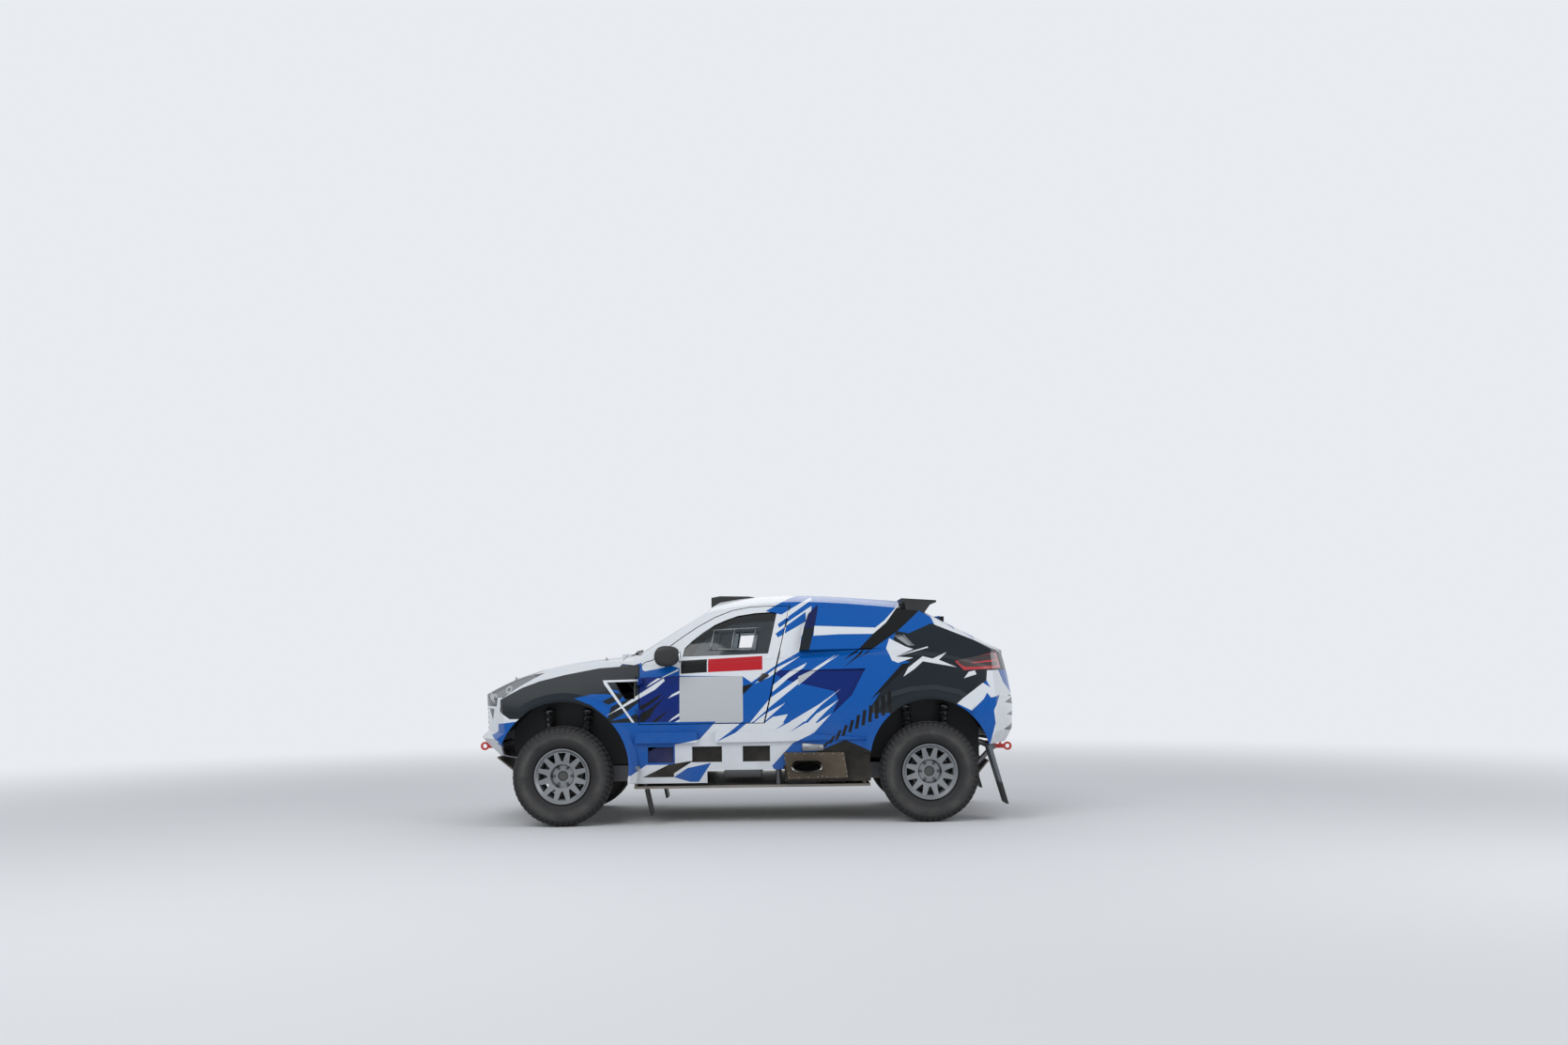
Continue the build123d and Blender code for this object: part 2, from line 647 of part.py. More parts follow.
def knuckle():
    """Left upright about the wheel's centre, with its spindle, steering arm and brake caliper."""
    pin = KINGPIN_Y - WHEEL_Y
    reach = DISC_OFFSET - DISC_THICK / 2 - 4
    with BuildPart() as upright:
        with BuildSketch(Plane.XZ.offset(-pin + 28)):
            with BuildLine():
                Polyline((-34, -BALL_DROP), (34, -BALL_DROP), (62, -40), (62, 40), (34, BALL_RISE),
                         (-34, BALL_RISE),
                         (-62, 40), (-62, -40), close=True)
            make_face()
        extrude(amount=-(reach - pin + 28))
        with BuildSketch(Plane.XZ.offset(-reach)):
            Circle(SPINDLE_RADIUS)
        extrude(amount=-(RIM_FACE - reach + 6))
        with BuildSketch(Plane.XY.offset(-30)):
            with BuildLine():
                Polyline((-150, pin - 24), (-40, pin - 28), (-40, pin + 6), (-150, pin + 4),
                         close=True)
            make_face()
        extrude(amount=26)
    face = DISC_OFFSET - DISC_THICK / 2 - PAD_GAP
    with BuildPart() as caliper:
        with BuildSketch(Plane.XY):
            with BuildLine():
                Polyline(
                    (50, face - 20), (CALIPER_RADIUS, face - 20),
                    (CALIPER_RADIUS, face + DISC_THICK + 2 * PAD_GAP + 18),
                    (100, face + DISC_THICK + 2 * PAD_GAP + 18),
                    (100, face + DISC_THICK + 2 * PAD_GAP),
                    (DISC_RADIUS + PAD_GAP, face + DISC_THICK + 2 * PAD_GAP),
                    (DISC_RADIUS + PAD_GAP, face), (50, face), close=True,
                )
            make_face()
        revolve(axis=Axis.Y, revolution_arc=CALIPER_ARC)
    return joined(upright.part, Rot(0, 180 - CALIPER_ARC / 2, 0) * caliper.part)


def arms(side, front):
    """Upper and lower wishbones of one wheel, from the rail to the upright."""
    x = AXLE_X * (1 if front else -1)
    ball = side * (KINGPIN_Y - 4)
    root = side * (RAIL_HALF + BUSH_RADIUS + SEAM)
    bars = []
    for level, spread in zip(arm_levels(), ARM_SPREAD):
        bars.append(tube([(x + spread, root, level), (x, ball, level), (x - spread, root, level)],
                         ARM_RADIUS))
        for foot in (x - spread, x + spread):
            bars.append(tube([(foot - BUSH_LENGTH / 2, root, level),
                              (foot + BUSH_LENGTH / 2, root, level)], BUSH_RADIUS))
    return joined(*bars)


def arm_levels():
    """Heights of the lower and upper wishbones, their balls just clear of the upright's ends."""
    ball = ARM_RADIUS + BEND_SWELL + SEAM
    return (WHEEL_Z - BALL_DROP - ball, WHEEL_Z + BALL_RISE + ball)


def skin(inset):
    """Whole body as one solid between nose and tail, drawn in by inset on every face but the bottom."""
    with BuildPart() as body:
        add(hull(inset))
        add(cabin(inset))
        add(turned_end(NOSE, NOSE_X - NOSE_SWEEP, inset), mode=Mode.INTERSECT)
        add(turned_end(TAIL, TAIL_X + TAIL_SWEEP, inset), mode=Mode.INTERSECT)
    return body.part


def save(piece, label):
    """Labels a finished piece and writes it to its own file."""
    piece.label = label
    export_step(piece, f"parts/{label}.step")


os.makedirs("parts", exist_ok=True)

LEFT = (300, 1200)
ACROSS = (-1200, 1200)

# Skins
outer = skin(0)
shell = less(outer, skin(WALL), block((1700, NOSE[-1][0] + 5), ACROSS, (200, NOSE[-2][1])),
             block((TAIL[-1][0] - 5, -1700), ACROSS, (200, TAIL[-2][1])))
ahead = common(shell, block((FENDER_BACK, 2400), ACROSS, (200, 1600)))
behind = common(shell, block((-2400, COWL_X), ACROSS, (200, 2000)))
sides = common(shell, block((SILL_BACK, SILL_FRONT), LEFT, (200, SILL_TOP - SEAM)))

arch_front = arch_cut(ARCH_FRONT, ARCH_FRONT_RADIUS, 560, 1200)
arch_rear = arch_cut(ARCH_REAR, ARCH_REAR_RADIUS, 560, 1200)

def swung(part, pivot_x, angle):
    """The part turned about an upright line at pivot_x on the left side."""
    return Pos(pivot_x, SWING_Y, 0) * Rot(0, 0, angle) * Pos(-pivot_x, -SWING_Y, 0) * part


# Nose
bumper_outline = [(2400, 450), (2400, BUMPER_TOP), (BUMPER_SEAM, BUMPER_TOP), (BUMPER_SEAM, 927),
                  (1780, 900), (1780, 450)]
front_bumper = common(ahead, side_prism(bumper_outline, *ACROSS))
tow_slot = block((BAR_X, TOW_FRONT[0] + 2 * TOW_RADIUS), (TOW_Y - SLOT_GAP, TOW_Y + TOW_THICK + SLOT_GAP),
                 (TOW_FRONT[1] - TOW_RADIUS - SLOT_GAP, TOW_FRONT[1] + TOW_RADIUS + SLOT_GAP))
grille = joined(
    block((1900, 2400), (-GRILLE_HALF, GRILLE_HALF), GRILLE_SPAN),
    block((1900, 2400), (-INTAKE_HALF, INTAKE_HALF), INTAKE_SPAN),
)
slats = common(ahead, joined(*[block((1900, 2400), (-GRILLE_HALF - 5, GRILLE_HALF + 5), (z, z + SLAT_TALL))
                               for z in GRILLE_SLATS]))
front_bumper = less(front_bumper, arch_front, flip(arch_front), tow_slot, flip(tow_slot), grille)
front_bumper = joined(front_bumper, slats)
save(front_bumper, "front_bumper")

lamp_cut = plan_prism(HEADLAMP, BUMPER_TOP, 1500)
lamp_left = common(ahead, plan_prism(HEADLAMP, BUMPER_TOP + SEAM, 1500, -SEAM))
save(joined(lamp_left, flip(lamp_left)), "headlamps")

bonnet = common(ahead, block((COWL_X + SHUT_GAP, 2400), (-BONNET_HALF, BONNET_HALF),
                             (BUMPER_TOP + SHUT_GAP, 1600)))
lamp_gap = plan_prism(HEADLAMP, 900, 1500, SHUT_GAP)
bonnet = less(bonnet, lamp_gap, flip(lamp_gap))

fender_outline = [(FENDER_BACK, SILL_TOP + SEAM), (FENDER_BACK, 1285), (COWL_X + SEAM, 1285),
                  (COWL_X + SEAM, 1500), (BUMPER_SEAM - SEAM, 1500), (BUMPER_SEAM - SEAM, 927 + SEAM),
                  (1780, 900 + SEAM), (1780, SILL_TOP + SEAM)]
fender = common(ahead, side_prism(fender_outline, BONNET_HALF + SHUT_GAP, 1200))
lip_front = less(flare(ARCH_FRONT, ARCH_FRONT_RADIUS - 1, FLARE_START, 195 - FLARE_START), arch_front)
above_sill = block((-2400, 2400), ACROSS, (SILL_TOP + SEAM, 2000))
below_sill = block((-2400, 2400), ACROSS, (HULL_BOTTOM + 10, SILL_TOP - SEAM))
fender = joined(less(fender, arch_front, lamp_cut, side_prism(FENDER_VENT, 700, 1200)),
                common(lip_front, above_sill))

# Doors
door = common(behind, side_prism(DOOR, *LEFT))
door = less(door, side_prism(WINDOW, *LEFT))
pane = less(cabin(GLASS_INSET), cabin(GLASS_INSET + GLASS))
window = less(common(pane, side_prism(WINDOW, *LEFT, -PANE_GAP)), side_prism(HATCH_PANE, *LEFT))
frame_skin = less(cabin(GLASS_INSET - 4), cabin(GLASS_INSET + 1))
slider = less(common(frame_skin, side_prism(SLIDER, *LEFT)), side_prism(SLIDER, *LEFT, -14))
window = joined(window, slider)
save(window, "window_left")
save(flip(window), "window_right")


def door_hinge(z):
    """Moving leaf with its barrel, and fixed leaves with their pin, of one door hinge."""
    top = z + HINGE_TALL
    with BuildPart() as moving:
        with BuildSketch(Plane.XY.offset(z)):
            with Locations((HINGE_X, HINGE_Y)):
                Circle(HINGE_RADIUS)
            with Locations((HINGE_X - 20, HINGE_Y - 28)):
                Rectangle(30, 56 + 2 * HINGE_RADIUS - 4)
            with Locations((HINGE_X, HINGE_Y)):
                Circle(PIN_RADIUS + RUNNING_GAP, mode=Mode.SUBTRACT)
        extrude(amount=HINGE_TALL)
    with BuildPart() as fixed:
        with BuildSketch(Plane.XY.offset(z - HINGE_EAR)):
            with Locations((HINGE_X, HINGE_Y)):
                Circle(PIN_RADIUS)
        extrude(amount=HINGE_TALL + 2 * HINGE_EAR)
        for level in (z - HINGE_EAR, top + SEAM):
            with BuildSketch(Plane.XY.offset(level)):
                with Locations((HINGE_X, HINGE_Y)):
                    Circle(HINGE_RADIUS)
                with Locations((HINGE_X + 18, HINGE_Y - 28)):
                    Rectangle(24, 56 + 2 * HINGE_RADIUS - 4)
            extrude(amount=HINGE_EAR - SEAM)
    return moving.part, fixed.part


for level in HINGE_LEVELS:
    moving, fixed = door_hinge(level)
    door = joined(door, moving)
    fender = joined(fender, fixed)
save(door, "door_left")
save(flip(door), "door_right")
save(fender, "fender_left")
save(flip(fender), "fender_right")

# Mirrors
with BuildPart() as mirror_pod:
    with BuildSketch(Plane.XZ.offset(-MIRROR_Y[0])):
        with BuildLine():
            Polyline(*MIRROR, close=True)
        make_face()
    extrude(amount=MIRROR_Y[0] - MIRROR_Y[1])
    fillet(mirror_pod.edges(), MIRROR_ROUND)
    add(tube(MIRROR_STALK, STALK_RADIUS))
pod = less(mirror_pod.part, outer)
save(pod, "mirror_left")
save(flip(pod), "mirror_right")

# Cabin skin
tail_lamp_cut = side_prism(TAIL_LAMP, 640, 1200)
rear_outline = [(-1880, 400), (-1880, 800), (-1985, TAIL_TOP), (-2400, TAIL_TOP), (-2400, 400)]
door_cut = side_prism(APERTURE, *LEFT)
corner = side_prism([(FENDER_BACK - 1, 700), (FENDER_BACK - 1, 1285 + SEAM),
                     (COWL_X + 5, 1285 + SEAM), (COWL_X + 5, 700)], BONNET_HALF + SHUT_GAP - SEAM,
                    1200)
body_shell = less(
    behind,
    block((SILL_BACK, SILL_FRONT), ACROSS, (200, SILL_TOP)),
    door_cut, flip(door_cut),
    corner, flip(corner),
    arch_rear, flip(arch_rear),
    side_prism(rear_outline, *ACROSS, SEAM),
    plan_prism(SCREEN, 1200, 2000),
    tail_lamp_cut, flip(tail_lamp_cut),
    block((-2400, TAILGATE_X), (-TAILGATE_HALF - SHUT_GAP, TAILGATE_HALF + SHUT_GAP),
          (TAIL_TOP - 10, 2000)),
)
lip_rear = less(flare(ARCH_REAR, ARCH_REAR_RADIUS - 1, *REAR_FLARE), arch_rear)
lip_above = common(lip_rear, above_sill)
scoop_cut = less(side_prism(SIDE_SCOOP, 780, 1000), swung(outer, SIDE_SCOOP[0][0], SCOOP_DEEP))
proud = swung(outer, QUARTER_SCOOP[-1][0], SCOOP_PROUD)
blister = common(proud, side_prism(QUARTER_SCOOP, 560, 1100))
mouth = common(swung(outer, QUARTER_SCOOP[-1][0], SCOOP_PROUD * 0.75),
               side_prism(QUARTER_SCOOP, 560, 1100, -16), block((-640, -400), LEFT, (1200, 1900)))
mouth = less(joined(mouth, Pos(40, 0, 0) * mouth), outer)
blister = less(blister, skin(WALL / 2), mouth)
duct = less(side_prism(SHOULDER_DUCT, 500, 1100), skin(DUCT_DEEP))
body_shell = joined(less(body_shell, scoop_cut, flip(scoop_cut)), lip_above, flip(lip_above),
                    blister, flip(blister))
body_shell = less(body_shell, duct, flip(duct))

tailgate = common(behind, block((-2400, TAILGATE_X - SHUT_GAP), (-TAILGATE_HALF, TAILGATE_HALF),
                                (TAIL_TOP + SHUT_GAP, 2000)))

rear_bumper = common(behind, side_prism(rear_outline, *ACROSS))
rear_bumper = less(rear_bumper, arch_rear, flip(arch_rear))
save(rear_bumper, "rear_bumper")

tail_lamp = common(behind, side_prism(TAIL_LAMP, 640 + SEAM, 1200, -SEAM))
save(joined(tail_lamp, flip(tail_lamp)), "tail_lamps")


def cross_hinge(x, z, y, towards):
    """Moving leaf with its barrel, and the fixed ears with their pin, about an axis along y."""
    with BuildPart() as moving:
        with BuildSketch(Plane.XZ.offset(-y)):
            with Locations((x, z)):
                Circle(HINGE_RADIUS)
            with Locations((x + towards * 24, z - 17)):
                Rectangle(40, 34 + 2 * PIN_RADIUS)
            with Locations((x, z)):
                Circle(PIN_RADIUS + RUNNING_GAP, mode=Mode.SUBTRACT)
        extrude(amount=-HINGE_TALL)
    with BuildPart() as fixed:
        with BuildSketch(Plane.XZ.offset(-y + HINGE_EAR)):
            with Locations((x, z)):
                Circle(PIN_RADIUS)
        extrude(amount=-HINGE_TALL - 2 * HINGE_EAR)
        for level in (y - HINGE_EAR, y + HINGE_TALL + SEAM):
            with BuildSketch(Plane.XZ.offset(-level)):
                with Locations((x, z)):
                    Circle(HINGE_RADIUS)
                with Locations((x - towards * 18, z - 17)):
                    Rectangle(28, 34 + 2 * PIN_RADIUS)
            extrude(amount=-HINGE_EAR + SEAM)
    return moving.part, fixed.part


for y in (BONNET_HINGE_Y, -BONNET_HINGE_Y - HINGE_TALL):
    moving, fixed = cross_hinge(BONNET_AXIS[0], BONNET_AXIS[1], y, 1)
    bonnet = joined(bonnet, moving)
    body_shell = joined(body_shell, fixed)
for y in (TAILGATE_HINGE_Y, -TAILGATE_HINGE_Y - HINGE_TALL):
    moving, fixed = cross_hinge(TAILGATE_AXIS[0], TAILGATE_AXIS[1], y, -1)
    tailgate = joined(tailgate, moving)
    body_shell = joined(body_shell, fixed)
save(bonnet, "bonnet")
save(tailgate, "tailgate")
save(body_shell, "body_shell")

screen = raked(SCREEN_BASE, SCREEN_TOP, SCREEN_SAG, 1, GLASS_INSET, GLASS)
screen_pane = plan_prism(SCREEN, 1270, 1900, -PANE_GAP)
save(common(screen, screen_pane), "windscreen")

# Sills
sill = less(sides, arch_front, arch_rear)
ledge_front = side_prism(LEDGE_NOSE, *LEDGE_Y)
ledge_back = side_prism(LEDGE_TAIL, *LEDGE_Y)
sill = joined(sill, ledge_front, ledge_back, common(lip_front, below_sill),
              common(lip_rear, below_sill))
for pocket in POCKETS:
    sill = less(sill, block(pocket, (POCKET_FLOOR, 1000), POCKET_Z))
sill = less(sill, block(SKIRT_RAISED, LEFT, (200, SKIRT_RAISED_Z)))
outlet = block((OUTLET[0] - OUTLET_LONG / 2, OUTLET[0] + OUTLET_LONG / 2), (700, 1200),
               (OUTLET[1] - OUTLET_TALL / 2, OUTLET[1] + OUTLET_TALL / 2))
sill = less(sill, outlet)
save(sill, "sill_left")
save(flip(sill), "sill_right")

with BuildPart() as guard:
    with BuildSketch(Plane.XZ.offset(-GUARD_Y[0])):
        with BuildLine():
            Polyline(*GUARD, close=True)
        make_face()
        with Locations(OUTLET):
            SlotOverall(OUTLET_LONG, OUTLET_TALL, mode=Mode.SUBTRACT)
    extrude(amount=GUARD_Y[0] - GUARD_Y[1])
guard_plate = less(guard.part, outer)
save(guard_plate, "exhaust_panel")

# Frame
with BuildPart() as tub:
    add(block((FLOOR_BACK, FLOOR_FRONT), (-FLOOR_HALF, FLOOR_HALF), (FLOOR_Z, FLOOR_TOP)))
    for face in (FLOOR_FRONT - BULKHEAD, BACK_WALL):
        add(block((face, face + BULKHEAD), (-BULKHEAD_HALF, BULKHEAD_HALF), (FLOOR_Z, BULKHEAD_TOP)))
    with BuildSketch(Plane.XY.offset(FLOOR_Z - JACK_TALL)):
        with Locations(*JACK_POINTS):
            Circle(JACK_RADIUS)
    extrude(amount=JACK_TALL)
save(tub.part, "floor_pan")

with BuildPart() as rails:
    for start, end in ((FLOOR_FRONT + SEAM, RAIL_FRONT), (RAIL_BACK, BACK_WALL - SEAM)):
        for side in (1, -1):
            y = side * (RAIL_HALF - RAIL_WIDTH / 2)
            add(block((start, end), (y - RAIL_WIDTH / 2, y + RAIL_WIDTH / 2),
                      (RAIL_Z, RAIL_Z + RAIL_TALL)))
            add(block((start, end), (y - RAIL_WIDTH / 2, y + RAIL_WIDTH / 2),
                      (RAIL_UPPER, RAIL_UPPER + RAIL_WIDTH)))
    for x, upper in CROSS_BARS:
        for level in (RAIL_Z, RAIL_UPPER) if upper else (RAIL_Z,):
            add(block((x, x + RAIL_WIDTH), (-RAIL_HALF + 1, RAIL_HALF - 1),
                      (level, level + RAIL_WIDTH)))
        for side in (1, -1):
            y = side * (RAIL_HALF - RAIL_WIDTH / 2)
            add(block((x, x + RAIL_WIDTH), (y - RAIL_WIDTH / 2, y + RAIL_WIDTH / 2),
                      (RAIL_Z, RAIL_UPPER + RAIL_WIDTH)))
    for axle in (AXLE_X, -AXLE_X):
        for foot in (axle - ARM_SPREAD[0], axle + ARM_SPREAD[0]):
            for side in (1, -1):
                add(block((foot - FOOT_LONG / 2, foot + FOOT_LONG / 2),
                          (side * (RAIL_HALF - FOOT_THICK), side * RAIL_HALF),
                          (arm_levels()[0] - BUSH_RADIUS, RAIL_Z)))
        for foot in (axle - ARM_SPREAD[1], axle + ARM_SPREAD[1]):
            for side in (1, -1):
                add(block((foot - FOOT_LONG / 2, foot + FOOT_LONG / 2),
                          (side * (RAIL_HALF - RAIL_WIDTH), side * RAIL_HALF),
                          (RAIL_Z + RAIL_TALL, RAIL_UPPER)))
    for end, post, post_z, bar_z in ((BAR_X, RAIL_FRONT - 10, POST_Z[0], TOW_FRONT[1]),
                                     (-BAR_X, RAIL_BACK + 10, POST_Z[1], TOW_REAR[1])):
        bar_end = TOW_Y + STRUT_SPREAD
        add(tube([(end, bar_end + BAR_RADIUS, bar_z), (end, -bar_end - BAR_RADIUS, bar_z)], BAR_RADIUS))
        for side in (1, -1):
            add(tube([(post, side * (RAIL_HALF - RAIL_WIDTH / 2), post_z), (end, side * bar_end, bar_z)],
                     STRUT_RADIUS))
save(rails.part, "frame_rails")

eyes = []
for (x, z), end in ((TOW_FRONT, BAR_X), (TOW_REAR, -BAR_X)):
    toe = end + (BAR_RADIUS + SEAM) * (1 if x > 0 else -1)
    with BuildPart() as eye:
        with BuildSketch(Plane.XZ.offset(-TOW_Y)):
            with Locations((x, z)):
                Circle(TOW_RADIUS)
            with Locations(((x + toe) / 2, z)):
                Rectangle(abs(x - toe), TOW_RADIUS)
            with Locations((x, z)):
                Circle(TOW_BORE, mode=Mode.SUBTRACT)
        extrude(amount=-TOW_THICK)
    eyes.append(eye.part)
both = joined(*eyes)
save(joined(both, flip(both)), "tow_eyes")

house_front = wheelhouse(ARCH_FRONT, ARCH_FRONT_RADIUS)
house_rear = wheelhouse(ARCH_REAR, ARCH_REAR_RADIUS)
houses = common(joined(house_front, house_rear), block((-1930, 1935), ACROSS, (0, 2000)))
houses = less(houses, block((1835, 1950), ACROSS, (0, 560)))
save(joined(houses, flip(houses)), "wheelhouses")

with BuildPart() as cage_side:
    foot_y = CAGE_HALF + CAGE_LEG_OUT
    roof_corner = (MAIN_HOOP_X, CAGE_HALF - CAGE_LEAN, CAGE_TOP)
    header_corner = (HEADER_X, CAGE_HALF - CAGE_LEAN - 10, CAGE_TOP - HEADER_DROP)
    add(tube([(MAIN_HOOP_X, foot_y, FLOOR_TOP + SEAM), (MAIN_HOOP_X, foot_y, CAGE_KNEE),
              (MAIN_HOOP_X, foot_y - 30, 1200), roof_corner, (MAIN_HOOP_X, 0, CAGE_TOP)],
             CAGE_RADIUS))
    add(tube([(CAGE_LEG_X, foot_y, FLOOR_TOP + SEAM), (CAGE_LEG_X, foot_y, CAGE_KNEE),
              (CAGE_LEG_X, foot_y - 10, 1180), header_corner, roof_corner], CAGE_RADIUS))
    add(tube([roof_corner, (STAY_FOOT[0], CAGE_HALF - 100, STAY_FOOT[1])], CAGE_RADIUS))
    add(tube([(CAGE_LEG_X, foot_y - 7, 620), (MAIN_HOOP_X, foot_y - 10, 900)], CAGE_RADIUS))
    add(tube([(CAGE_LEG_X, foot_y - 8, 900), (MAIN_HOOP_X, foot_y - 6, 560)], CAGE_RADIUS))
    add(tube([header_corner, (HEADER_X, 0, CAGE_TOP - HEADER_DROP)], CAGE_RADIUS))
save(joined(cage_side.part, flip(cage_side.part)), "roll_cage")

save(block(ENGINE_X, (-ENGINE_HALF, ENGINE_HALF), (RAIL_Z + RAIL_WIDTH + SEAM, ENGINE_TOP)),
     "engine_block")

skids = [side_prism(points, 20 - RAIL_HALF, RAIL_HALF - 20) for points in (SKID_FRONT, SKID_REAR)]
save(joined(*skids), "skid_plates")

# Suspension and wheels
upright = knuckle()
left_front = Pos(AXLE_X, WHEEL_Y, WHEEL_Z) * upright
save(left_front, "knuckle_front_left")
save(flip(left_front), "knuckle_front_right")
left_rear = Pos(-AXLE_X, WHEEL_Y, WHEEL_Z) * upright
save(joined(left_rear, flip(left_rear)), "rear_uprights")

for front in (True, False):
    x = AXLE_X if front else -AXLE_X
    shaft_end = KINGPIN_Y - 28 - (18 if front else SEAM)
    half = joined(arms(1, front), disc(x, WHEEL_Z, SHAFT_RADIUS, RAIL_HALF + SEAM, shaft_end))
    save(joined(half, flip(half)), "front_suspension" if front else "rear_suspension")

struts = []
for x in (AXLE_X, -AXLE_X):
    for side in (1, -1):
        base = (x + side * DAMPER_FOOT[0], DAMPER_FOOT[1], arm_levels()[0] + ARM_RADIUS + DAMPER_SEAT)
        top = (x + side * DAMPER_HEAD[0], DAMPER_HEAD[1], STRUT_TOP)
        line = Vector(*top) - Vector(*base)
        unit = line.normalized()
        struts.append(tube([base, top], DAMPER_RADIUS))
        low = Vector(*base) + unit * SPRING_SPAN[0]
        high = Vector(*base) + unit * SPRING_SPAN[1]
        struts.append(tube([tuple(low), tuple(high)], SPRING_RADIUS))
strut = joined(*struts)
save(joined(strut, flip(strut)), "dampers")

rim = wheel_rim()
tyre = wheel_tyre()
hub = joined(wheel_hub(), wheel_nuts())
for name, x, side in (("front_left", AXLE_X, 1), ("front_right", AXLE_X, -1),
                      ("rear_left", -AXLE_X, 1), ("rear_right", -AXLE_X, -1)):
    for piece, label in ((rim, "rim"), (tyre, "tyre"), (hub, "brake_disc")):
        placed = Pos(x, WHEEL_Y, WHEEL_Z) * piece
        save(placed if side > 0 else flip(placed), f"{label}_{name}")

# Outside fittings
flaps = joined(side_prism(FLAP_FRONT, *FLAP_Y), side_prism(FLAP_REAR, *FLAP_Y))
save(joined(flaps, flip(flaps)), "mud_flaps")

scoop = side_prism(ROOF_SCOOP, -SCOOP_HALF, SCOOP_HALF)
scoop_mouth = side_prism(SCOOP_MOUTH, SCOOP_WALL - SCOOP_HALF, SCOOP_HALF - SCOOP_WALL)
scoop = less(scoop, cabin(-SEAM), scoop_mouth)
save(scoop, "roof_scoop")

blade = side_prism(BLADE, -BLADE_HALF, BLADE_HALF)
end_plate = side_prism(END_PLATE, *END_PLATE_Y)
spoiler = less(joined(blade, end_plate, flip(end_plate)), cabin(-SEAM))
save(spoiler, "rear_spoiler")

# Inside
with BuildPart() as seat:
    with BuildSketch(Plane.XZ.offset(-SEAT_Y + SEAT_HALF)):
        with BuildLine():
            Polyline(*SEAT_SIDE, close=True)
        make_face()
    extrude(amount=-2 * SEAT_HALF)
    for wing in (SEAT_Y - SEAT_HALF, SEAT_Y + SEAT_HALF - BOLSTER):
        add(side_prism(SEAT_WING, wing, wing + BOLSTER))
seats = joined(seat.part, flip(seat.part))
save(seats, "seats")

dash = side_prism(DASH, -DASH_HALF, DASH_HALF)
post = tube([(POST_X, 0, FLOOR_TOP + SEAM), (POST_X, 0, POST_TOP)], POST_RADIUS)
column_dir = Vector(1, 0, 0).rotate(Axis.Y, COLUMN_TILT)
wheel_at = Vector(*WHEEL_HUB)
column = tube([tuple(wheel_at + column_dir * reach) for reach in COLUMN_SPAN], COLUMN_RADIUS)
bore = tube([tuple(wheel_at + column_dir * reach) for reach in (COLUMN_SPAN[0] - 20, SHAFT_REACH)],
            STEERING_SHAFT + RUNNING_GAP)
save(less(joined(dash, column, post), bore), "dashboard")

with BuildPart() as steering:
    with BuildSketch(Plane.XZ):
        with Locations((RING_RADIUS, 0)):
            RegularPolygon(RING_BAR, 8)
    revolve(axis=Axis.Z)
    with BuildSketch(Plane.XY.offset(-RING_PLATE / 2)):
        with PolarLocations(RING_RADIUS / 2, 3):
            Rectangle(RING_RADIUS, RING_SPOKE)
        Circle(45)
    extrude(amount=RING_PLATE)
    with BuildSketch(Plane.XY):
        Circle(STEERING_SHAFT)
    extrude(amount=10 - SHAFT_REACH)
turn = Pos(*WHEEL_HUB) * Rot(0, -90 + COLUMN_TILT, 0)
save(turn * steering.part, "steering_wheel")
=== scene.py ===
"""Looks of the rally raid car: its finishes, tyres and trim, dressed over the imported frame.

Metres, in the frame's own axes: X forward, Y to the car's left, Z up, the ground at zero.
"""

import json
from functools import partialmethod
from itertools import product

import bmesh
import bpy
import numpy as np
from mathutils import Matrix, Vector
from mathutils.bvhtree import BVHTree


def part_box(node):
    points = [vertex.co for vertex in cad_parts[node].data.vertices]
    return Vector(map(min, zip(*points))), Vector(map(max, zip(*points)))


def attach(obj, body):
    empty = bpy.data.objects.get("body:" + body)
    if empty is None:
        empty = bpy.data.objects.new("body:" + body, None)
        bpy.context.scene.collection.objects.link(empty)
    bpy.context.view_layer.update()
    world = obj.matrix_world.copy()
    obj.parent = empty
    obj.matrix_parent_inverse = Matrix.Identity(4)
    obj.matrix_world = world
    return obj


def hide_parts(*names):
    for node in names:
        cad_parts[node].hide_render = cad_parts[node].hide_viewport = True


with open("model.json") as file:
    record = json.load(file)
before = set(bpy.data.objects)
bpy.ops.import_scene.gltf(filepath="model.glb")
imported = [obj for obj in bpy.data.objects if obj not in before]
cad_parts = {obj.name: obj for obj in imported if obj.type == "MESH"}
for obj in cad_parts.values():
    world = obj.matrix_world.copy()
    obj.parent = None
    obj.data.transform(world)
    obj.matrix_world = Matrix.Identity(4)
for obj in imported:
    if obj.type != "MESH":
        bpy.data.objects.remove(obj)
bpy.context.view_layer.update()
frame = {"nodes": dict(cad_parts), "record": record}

# Places in the frame
TYRE_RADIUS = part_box("tyre_front_left")[1].z / 2
AXLE_X = 1.475
WHEEL_Y = 0.84
SEAT_Y = 0.370
WHEELS = {end + "_" + side: (x, y) for end, x in (("front", AXLE_X), ("rear", -AXLE_X))
          for side, y in (("left", WHEEL_Y), ("right", -WHEEL_Y))}

# Stripe masks: how far an edge reaches out, and the thinnest triangle that is kept
STRIPE_EDGE = 0.0005
THINNEST = 0.0015

# Inner faces look towards this level, with the car's length counting for less than its width
INSIDE_LEVEL = 0.7
INSIDE_STRETCH = (0.3, 1.0, 1.0)
INSIDE_LIMIT = -0.05


